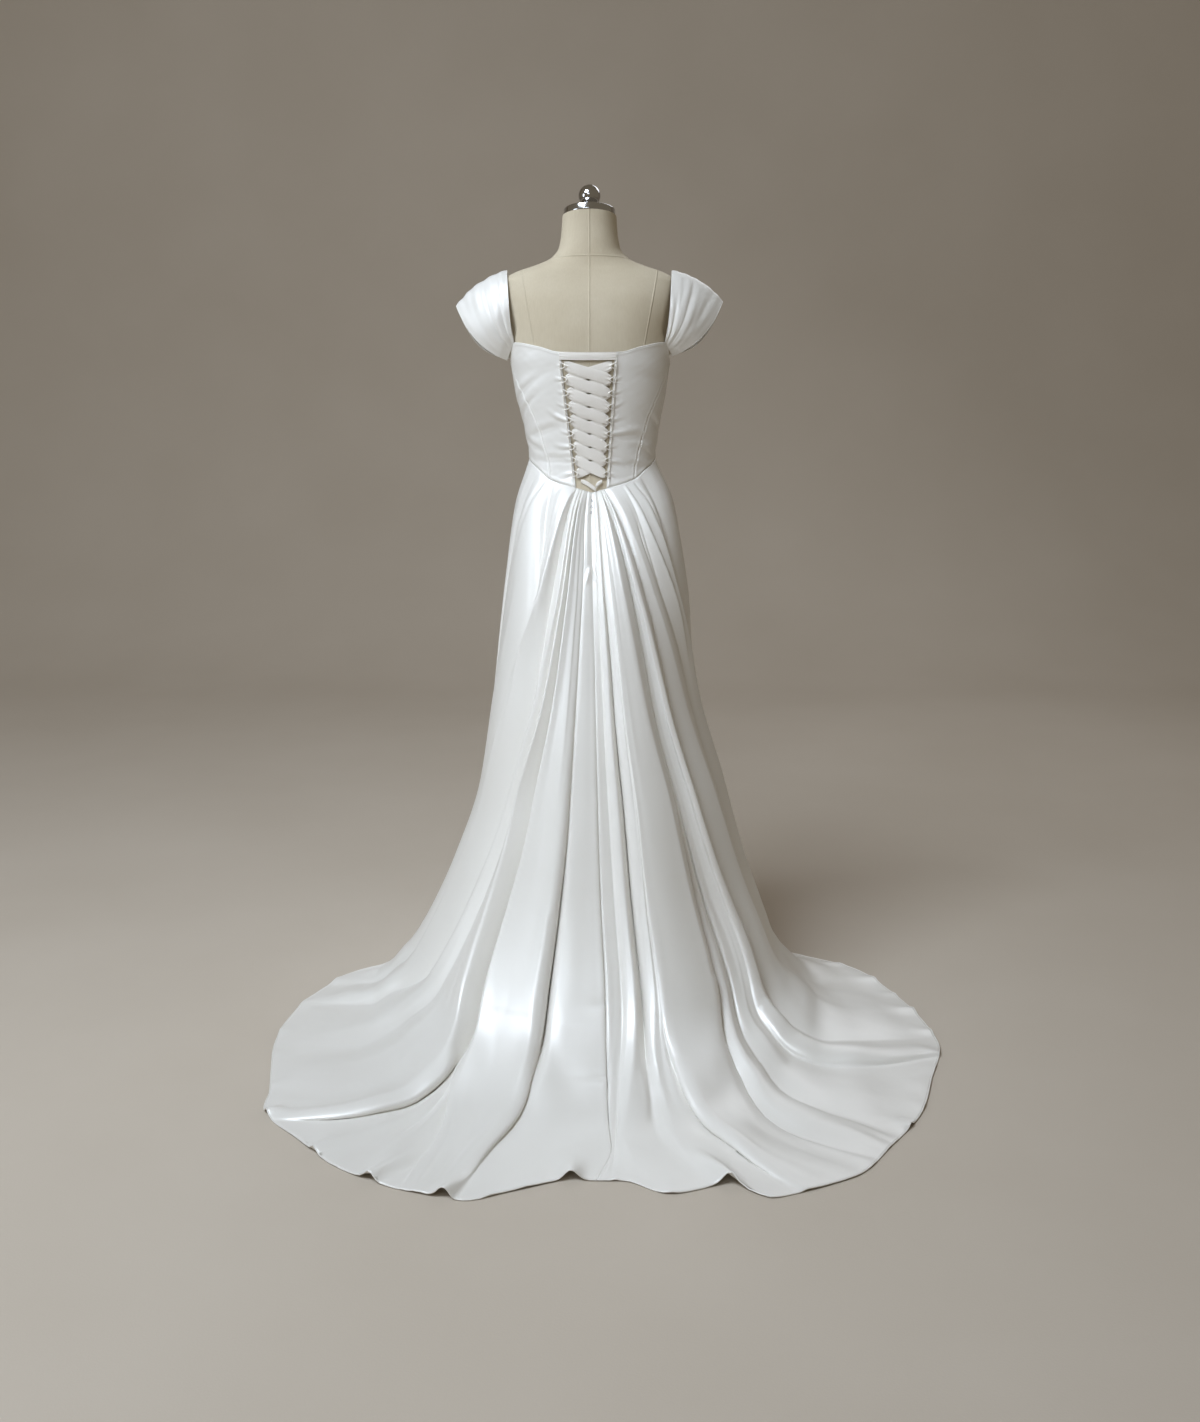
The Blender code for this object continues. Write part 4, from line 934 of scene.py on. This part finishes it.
def edge_relief(height, distances, free):
    # The panel's stitched edges: bound where free, else a groove between light puckers
    left, right, low, high = distances
    total = np.zeros_like(height)
    for distance, bound in zip((left, right), free):
        if bound:
            total += 0.0007 * bell(distance, 0.0035, 0.0018)
        else:
            pucker = 1 + 0.35 * np.sin(height * 2 * np.pi / PUCKER_PITCH + 3 * np.sin(height * 70))
            total -= 0.0010 * bell(distance, 0, 0.0016)
            total += 0.00035 * pucker * bell(distance, 0.005, 0.0028)
    total += 0.0006 * bell(high, 0.0030, 0.0022) - 0.0008 * bell(low, 0, 0.0014)
    return total + 0.0005 * bell(low, 0.0045, 0.003)


def build_panel(name, first, second, rows, columns):
    # One panel of the bodice between two edges, each an angle for every height
    angle, height = bodice_grid(first, second, rows, columns)
    points = figure_point(angle, height, FIT_GAP)
    distances = [edge_distance(points, axis, end) for axis in (1, 0) for end in (False, True)]
    free = (name == "bodice_back_right", name == "bodice_back_left")
    calm = ease(np.minimum(distances[2], distances[3]) / 0.010) * 0.85 + 0.15
    relief = bodice_relief(angle, height, points) * calm
    raised = np.maximum(relief, -0.0011) + np.maximum(edge_relief(height, distances, free), -0.0009)
    normal = grid_normals(points)
    normal *= np.sign((normal * points * (1, 1, 0)).sum(-1))[..., None]
    points = points + normal * raised[..., None]
    middle = points + normal * BODICE_WALL * 0.4
    parts = [shell_parts(points, BODICE_WALL * BODICE_SHARE, BODY_CENTRE)]
    parts.append(tube_parts(middle[-1, ::2], TOP_EDGE_ROLL))
    for bound, column in zip(free, (0, -1)):
        if bound:
            parts.append(tube_parts(middle[::2, column], BOUND_EDGE))
    sew(name, parts)


def build_bodice():
    def side_seam(height):
        return SIDE_SEAM + 0.0 * height

    def minus(function):
        return lambda height: -function(height)

    build_panel("bodice_back_left", minus(back_princess), opening_left, 141, 113)
    build_panel("bodice_back_right", opening_right, back_princess, 141, 113)
    build_panel("bodice_side_back_left", minus(side_seam), minus(back_princess), 121, 61)
    build_panel("bodice_side_back_right", back_princess, side_seam, 121, 61)
    build_panel("bodice_side_front_left", minus(front_princess), minus(side_seam), 121, 73)
    build_panel("bodice_side_front_right", side_seam, front_princess, 121, 73)
    build_panel("bodice_front", front_princess, lambda height: 360.0 - front_princess(height), 121, 121)


# Cap sleeves
# Folds of the cap sleeves: share across from the inner edge, half width, height in millimetres
SLEEVE_FOLDS = (
    (0.06, 0.035, 1.4), (0.15, 0.034, -2.2), (0.27, 0.055, 2.0), (0.40, 0.036, -2.0), (0.54, 0.080, 1.3),
    (0.70, 0.060, -0.6),
)


def sleeve_points(along, across, mirror):
    # A cap sleeve from the back to the front of the bodice, puffed and folded lengthwise
    inner = np.stack([read(SLEEVE, k, along) for k in (1, 2, 3)], -1)
    span = np.stack([read(SLEEVE, k, along) for k in (4, 5, 6)], -1) - inner
    heading = unit(np.stack([span[..., 2], np.zeros(along.shape), -span[..., 0]], -1))
    fore = (along - 0.5) * 2.4
    face = heading * np.cos(fore)[..., None]
    face[..., 1] += np.sin(fore)
    ends = np.sin(np.pi * along) ** 0.7
    relief = np.zeros(along.shape)
    shift = 0.035 * np.sin(along * 5.0 + (0.6 if mirror > 0 else 2.2))
    for middle, half, up in SLEEVE_FOLDS:
        relief += up * bell(across, middle + shift, half)
    strength = ends * (0.10 + 0.90 * np.abs(np.cos(np.pi * along)) ** 1.6)
    relief = relief * strength * (0.0017 if mirror > 0 else 0.0013)
    relief += 0.0004 * ripple(along, across, 0.30, 0.20, 11 if mirror > 0 else 12) * ends
    bulge = read(SLEEVE, 7, along) * np.sin(np.pi * across) ** 0.8 + relief
    points = inner + span * across[..., None] + face * bulge[..., None]
    points[..., 0] *= mirror
    points[..., 2] += 0.008 * (mirror < 0) * across
    return points


def build_sleeves():
    along, across = np.meshgrid(np.linspace(0, 1, 161), np.linspace(0, 1, 81), indexing="ij")
    for name, mirror in (("sleeve_left", 1.0), ("sleeve_right", -1.0)):
        points = sleeve_points(along, across, mirror)
        normal = grid_normals(points)
        normal *= np.sign((normal * (points - np.array(SLEEVE_CENTRE))).sum())
        rims = points + normal * SLEEVE_WALL * 0.35
        parts = [shell_parts(points, SLEEVE_WALL * SLEEVE_SHARE, SLEEVE_CENTRE)]
        parts += [tube_parts(rims[:, edge], BOUND_EDGE) for edge in (0, -1)]
        sew(name, parts)


# Lacing
def knot_x(index, right):
    return float(opening_x(knot_height(index), right)) + (-KNOT_INSET if right else KNOT_INSET)


def lace_path(right):
    # One ribbon down the back: each run crosses over or under, then turns round in its loop
    path = []
    over = not right
    for run in range(KNOTS - 1):
        x0, x1 = knot_x(run, right), knot_x(run + 1, not right)
        z0, z1 = knot_height(run), knot_height(run + 1)
        layer = RIBBON_TOP if over else RIBBON_LOW
        last = run == KNOTS - 2
        for t in np.linspace(0, 1, 31)[:None if last else -1]:
            full = ease(min(t, 1 - t) / 0.13 + 0.12)
            width = RIBBON_PINCH + (RIBBON_WIDTH - RIBBON_PINCH) * full
            level = layer + (RIBBON_LOW + 0.0010 - layer) * (1 - ease(min(t, 1 - t) / 0.12)) * 0.7
            path.append((x0 + (x1 - x0) * t, z0 + (z1 - z0) * t, level, width, run, t))
        right = not right
        over = not over
    return path


def ribbon_grid(path, columns, gathers, seed):
    # A ribbon on its path, gathered into small folds where it is pinched
    rng = np.random.default_rng(seed)
    phases = rng.uniform(0, 6.28, 40)
    share = np.linspace(-0.5, 0.5, columns)
    curl = -0.0005 * np.abs(share * 2) ** 6
    rows = []
    for x, height, out, width, run, t in path:
        pinch = 1 - ease(min(t, 1 - t) / 0.17)
        waves = np.sin(share * 2 * np.pi * 2.6 + phases[run] + 2.0 * (t > 0.5))
        folds = gathers * pinch * 0.0011 * waves
        belly = 0.0003 * np.cos(share * np.pi * 1.6 + 0.4 * math.sin(phases[run + 7] + 5 * t))
        rows.append(back_point(x + 0 * share, height + width * share, out + folds + belly + curl))
    return np.array(rows)


# The ends of the two ribbons: places x and z, width, height over the bodice
TAILS = {
    "lace_tail_left": (((-0.0165, 1.0600), (-0.0060, 1.0560), (0.0050, 1.0490), (0.0120, 1.0440)),
                       0.0085, RIBBON_LOW),
    "lace_tail_right": (((0.0240, 1.0600), (0.0160, 1.0545), (0.0120, 1.0500)), 0.0080, RIBBON_TOP),
}


def build_lacing():
    for name, start_right, seed in (("lace_ribbon_a", False, 3), ("lace_ribbon_b", True, 4)):
        points = ribbon_grid(lace_path(start_right), 13, 1.0, seed)
        sew(name, [shell_parts(points, RIBBON_WALL, LACING_CENTRE, 0.5)], "ribbon_satin")
    start, end = (float(opening_x(BAR_HEIGHT, right)) for right in (False, True))
    bar = []
    for x in np.linspace(start - 0.002, end + 0.002, 41):
        sag = 0.0008 * math.sin((x - start) / (end - start) * math.pi)
        t = min(1, max(0, (x - start + 0.002) / (end - start + 0.004)))
        bar.append((x, BAR_HEIGHT - sag, RIBBON_LOW, BAR_WIDTH, 0, t))
    points = ribbon_grid(bar, 11, 0.5, 8)
    parts = [shell_parts(points, BAR_WALL, LACING_CENTRE, 0.5)]
    for edge in (0, -1):
        parts.append(tube_parts(points[:, edge] + np.array((0, -0.0004, 0)), 0.0006, 6))
    sew("lace_top_bar", parts, "ribbon_satin")
    for name, (places, width, layer) in TAILS.items():
        places = np.array(places)
        t = np.linspace(0, 1, 25)
        xs, zs = (smooth(np.linspace(0, 1, len(places)), places[:, k], t) for k in (0, 1))
        widths = width * (0.75 + 0.25 * np.sin(math.pi * t))
        path = [(x, z, layer, wide, 0, k) for x, z, wide, k in zip(xs, zs, widths, t)]
        points = ribbon_grid(path, 9, 0.9, 9)
        sew(name, [shell_parts(points, RIBBON_WALL, LACING_CENTRE, 0.5)], "ribbon_satin")
    build_loops("lace_loops_left", -1.0)
    build_loops("lace_loops_right", 1.0)


def build_loops(name, sign):
    # Rouleau loops on the opening's edge: a cord down the edge that leaves it round each knot
    right = sign > 0
    heights = np.linspace(knot_height(0) + 0.0105, knot_height(KNOTS - 1) - 0.0058, 90)
    edge = [back_point(float(opening_x(z, right)) + sign * 0.0030, z, 0.0050) for z in heights]
    parts = [tube_parts(edge, 0.0008, 6)]
    for index in range(KNOTS):
        middle = knot_height(index)
        base = float(opening_x(middle, right)) + sign * 0.0036
        tip = knot_x(index, right) - sign * 0.0022
        line = []
        for t in np.linspace(0, 1, 25):
            reach = math.sin(math.pi * t) ** 0.75
            z = middle + 0.0062 * math.cos(math.pi * t) * (1 - 0.45 * reach)
            line.append(back_point(base + (tip - base) * reach, z, 0.0052 + 0.0034 * reach))
        parts.append(tube_parts(line, LOOP_RADIUS))
        knot = [back_point(tip + sign * 0.0018 * k, middle + 0.0009 * k, 0.0074) for k in (-1, -0.4, 0.4, 1)]
        parts.append(tube_parts(knot, [0.0006, 0.0015, 0.0015, 0.0006]))
    make_piece(name + "_cord", parts, "rouleau_satin", name)


# Skirt
def skirt_grid(first, last, rows):
    # Place, station, angle, rise and overhang of each point, with more columns where folds are wide
    places = [float(first)]
    probe = np.array([2.2, 5.0])
    for number in range(first, last):
        here = fold_line(number, probe)[0]
        there = fold_line(number + 1, probe)[0]
        wide = float(np.mean(np.abs(there - here) * base_frame(here, probe)[1]))
        parts = int(np.clip(round(wide / COLUMN_WIDTH), 8, 24))
        places += [number + (k + 1) / parts for k in range(parts)]
    if len(places) % 2 == 0:
        places.insert(-1, (places[-2] + places[-1]) / 2)
    grid = []
    for place in places:
        stations = even_stations(place, rows)
        angle, rise, lean = skirt_angle(min(place, last - 1e-6), stations)
        grid.append(np.stack([np.full(rows, place), stations, angle, rise, lean], -1))
    return np.array(grid).transpose(1, 0, 2)


def seam_depth(angle, station, degree):
    # The closed centre back seam: a fine groove, the end of the zip and two pinched puckers
    middle = fold_line(NAMES.index("centre_seam"), station)[0]
    away = np.abs(angle - middle) * degree
    z = base_point(middle, station)[..., 2]
    depth = 0.0005 * bell(away, 0.006, 0.003) - 0.0009 * bell(away, 0, 0.0016)
    zip_end = ease((ZIP_TOP - z) / 0.010) * ease((z - ZIP_FOOT) / 0.012) * (station < 2)
    spread = 0.0025 + 0.30 * np.clip(0.908 - z, 0, 0.04)
    buckle = 0.0036 * bell(away, spread, 0.0030) - 0.0022 * bell(away, 0, 0.0028)
    depth = depth + buckle * zip_end * (0.75 + 0.25 * np.sin(z * 2 * np.pi / ZIP_WAVE))
    left = np.where(angle < middle, 1.0, 0.35)
    for place, size, up in ((3.05, 0.035, 0.0024), (3.80, 0.045, 0.0026)):
        pinch = bell(station, place, size) - 0.8 * bell(station, place + 1.8 * size, size)
        depth = depth - up * left * pinch * bell(away, 0, 0.030)
    return depth


def skirt_points(grid, seed):
    place, station, angle, rise, lean = (grid[..., k] for k in range(5))
    normal, degree = base_frame(angle, station)
    flat = base_point(angle, station)
    aside = unit(look_up(SWEPT_AROUND, angle, station))
    fade = ease(station / 0.15)
    extra = crease_height(angle, station, degree) + seam_depth(wrap(angle), station, degree) * fade
    long_waves = ripple(place, station, 0.9, 2.2, seed)
    short_waves = ripple(place, station, 0.42, 1.0, seed + 1)
    growth = fade * (0.35 + 0.65 * np.clip(station, 0, 4) / 3)
    extra = extra + (0.0003 * long_waves + 0.0001 * short_waves) * growth
    arc = np.radians(angle) * np.linalg.norm(flat[..., :2], axis=-1)
    extra = extra + 0.0010 * ripple(arc, station, 0.16, 1.20, seed + 2) * ease((station - 2.8) / 1.4)
    hem = base_point(angle, np.full_like(station, HEM_STATION))
    inwards = np.linalg.norm(flat - hem, axis=-1) * 1000
    for middle, half, up, reach in HEM_CURLS:
        away = (wrap(angle) - middle) * degree * 1000 / (half * (1 + 0.8 * np.clip(inwards / reach, 0, 1)))
        extra = extra + 0.001 * up * bell(away, 0, 1) * (1 - ease(inwards / reach)) * (station > 4)
    points = flat + normal * (rise + extra)[..., None] + aside * lean[..., None]
    # The cloth eases onto the floor instead of being cut off by it
    z = points[..., 2]
    hanging = np.where(station > 0.5, np.maximum(z, FLOOR_SKIM), z)
    soft = 0.5 * (z + np.sqrt(z ** 2 + 0.004 ** 2))
    points[..., 2] = np.where(station > 3.2, np.maximum(soft - 0.0012, FLOOR_SKIM), hanging)
    return points


def build_skirt():
    centre = NAMES.index("centre_seam")
    side_right = len(NAMES) + 1
    side_left = COUNT - 1
    panels = (
        ("skirt_back_left", side_left - COUNT, centre, 281, 21),
        ("skirt_back_right", centre, side_right, 281, 31),
        ("skirt_front", side_right, side_left, 221, 41),
    )
    for name, first, last, rows, seed in panels:
        points = skirt_points(skirt_grid(first, last, rows), seed)
        for end, inner in ((0, 1), (-1, -2)):
            step = points[:, inner] - points[:, end]
            width = np.linalg.norm(step, axis=-1, keepdims=True)
            points[:, end] += step * np.minimum(0.4, SEAM_INSET / width)
        hem = points[-1].copy()
        hem[:, 2] = np.maximum(hem[:, 2] + 0.0005, 0.0013)
        parts = [shell_parts(points, SKIRT_WALL * SKIRT_SHARE, SKIRT_CENTRE), tube_parts(hem, HEM_ROLL)]
        sew(name, parts, crease=150)


# Half of a hook's bent wire, from its eye up to the bend: sideways, up and outwards in millimetres
HOOK_BEND = (
    (-1.0, -2.4, 0.2), (-1.7, -1.8, 0.3), (-1.4, -0.9, 0.3), (-0.6, -0.6, 0.4), (-0.6, 1.2, 0.6),
    (-0.4, 2.4, 0.9), (0.0, 2.8, 1.1),
)


def build_hooks():
    # Three hooks in a column: each a bent wire with two eyes at its foot
    half = np.array(HOOK_BEND) * 0.001
    bend = np.concatenate([half, half[-2::-1] * (-1, 1, 1)])
    stations = np.linspace(0, 1.2, 400)
    line = base_point(np.full(400, HOOK_ANGLE), stations)
    for index in range(3):
        height = HOOK_TOP - HOOK_PITCH * index
        station = stations[np.argmin(np.abs(line[:, 2] - height))]
        normal, _ = base_frame(np.array(HOOK_ANGLE), np.array(station))
        place = base_point(HOOK_ANGLE, station) + normal * (SKIRT_WALL + 0.0004)
        side = np.array((1.0, 0.0, 0.0))
        up = np.cross(normal, side)
        up = up * np.sign(up[2])
        wire = place + bend[:, :1] * side + bend[:, 1:2] * up + bend[:, 2:] * normal
        t = np.linspace(0, len(wire) - 1, 49)
        fine = np.stack([smooth(np.arange(len(wire)), wire[:, k], t) for k in range(3)], -1)
        node = "hook_%d" % (index + 1)
        make_piece(node + "_wire", [tube_parts(fine, HOOK_WIRE, 6)], "hook_wire", node)


build_form()
build_bodice()
build_sleeves()
build_lacing()
build_skirt()
build_hooks()

# The stand keeps its CAD shape under the skirt
for node, look in (("stand_post", "chrome"), ("stand_base", "base_steel")):
    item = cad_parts[node]
    item.data.materials.clear()
    item.data.materials.append(LOOKS[look])
    item.data.polygons.foreach_set("material_index", np.zeros(len(item.data.polygons), np.int32))


# Floor, light and camera
def build_stage():
    look = Look("floor_paper", (0.55, 0.49, 0.41), 0.92, Specular_IOR_Level=0.2)
    look.mottle(2.0, (0.540, 0.475, 0.395), (0.565, 0.500, 0.420), 4.0)
    look.grain(220.0, 0.0006, 0.35, 3.0)
    # A level floor that bends up into a backdrop: y and z of its outline
    turn = np.radians(np.linspace(0, 90, 25))
    bend = np.stack([2.6 + 1.4 * np.sin(turn), 1.4 - 1.4 * np.cos(turn)], -1)
    profile = np.concatenate([[(-6.0, 0.0), (2.6, 0.0)], bend, [(4.0, 6.0)]])
    points = np.array([[(x, y, z) for x in (-8.0, 8.0)] for y, z in profile])
    quads = grid_quads(np.arange(len(profile) * 2).reshape(-1, 2))
    item = make_object("floor_sweep", [(points.reshape(-1, 3), quads, np.zeros((0, 3), int))], look.material)
    item.location = (0, 0, -0.0004)


def add_light(name, place, aim, size, watts, colour, spread=180):
    lamp = bpy.data.lights.new(name, "AREA")
    lamp.shape = "RECTANGLE"
    lamp.size, lamp.size_y = size
    lamp.energy = watts
    lamp.color = colour
    lamp.spread = math.radians(spread)
    item = bpy.data.objects.new(name, lamp)
    bpy.context.scene.collection.objects.link(item)
    item.location = place
    away = np.array(place, float) - np.array(aim, float)
    yaw = math.atan2(away[0], -away[1])
    pitch = math.atan2(math.hypot(away[0], away[1]), away[2])
    item.rotation_euler = (pitch, 0, yaw)


build_stage()
add_light("key", (-1.7, -2.0, 4.0), (0, -0.35, 0.5), (1.8, 1.6), 148, (0.775, 0.872, 1.0))
add_light("side", (-3.0, -1.4, 1.8), (0, -0.2, 0.4), (1.0, 1.4), 14, (0.80, 0.89, 1.0))
add_light("front", (-0.7, -3.2, 2.6), (0, -0.25, 0.70), (1.2, 0.9), 1.5, (0.78, 0.875, 1.0), 34)
add_light("rear", (1.4, 2.4, 3.0), (0, 0.2, 1.0), (2.0, 1.2), 15, (0.92, 0.94, 1.0))

world = bpy.data.worlds.new("studio")
world.use_nodes = True
world.node_tree.nodes["Background"].inputs["Color"].default_value = (1.0, 0.85, 0.62, 1.0)
world.node_tree.nodes["Background"].inputs["Strength"].default_value = 0.17
bpy.context.scene.world = world

camera = bpy.data.cameras.new("camera")
camera.lens = 40.25
camera.sensor_width = 36.0
camera.clip_end = 50.0
view = bpy.data.objects.new("camera", camera)
bpy.context.scene.collection.objects.link(view)
view.location = (0.02, -3.15, 1.38)
view.rotation_euler = (math.radians(90 - 14.2), 0, 0)
bpy.context.scene.camera = view
bpy.context.scene.view_settings.view_transform = "Standard"

bpy.context.view_layer.update()
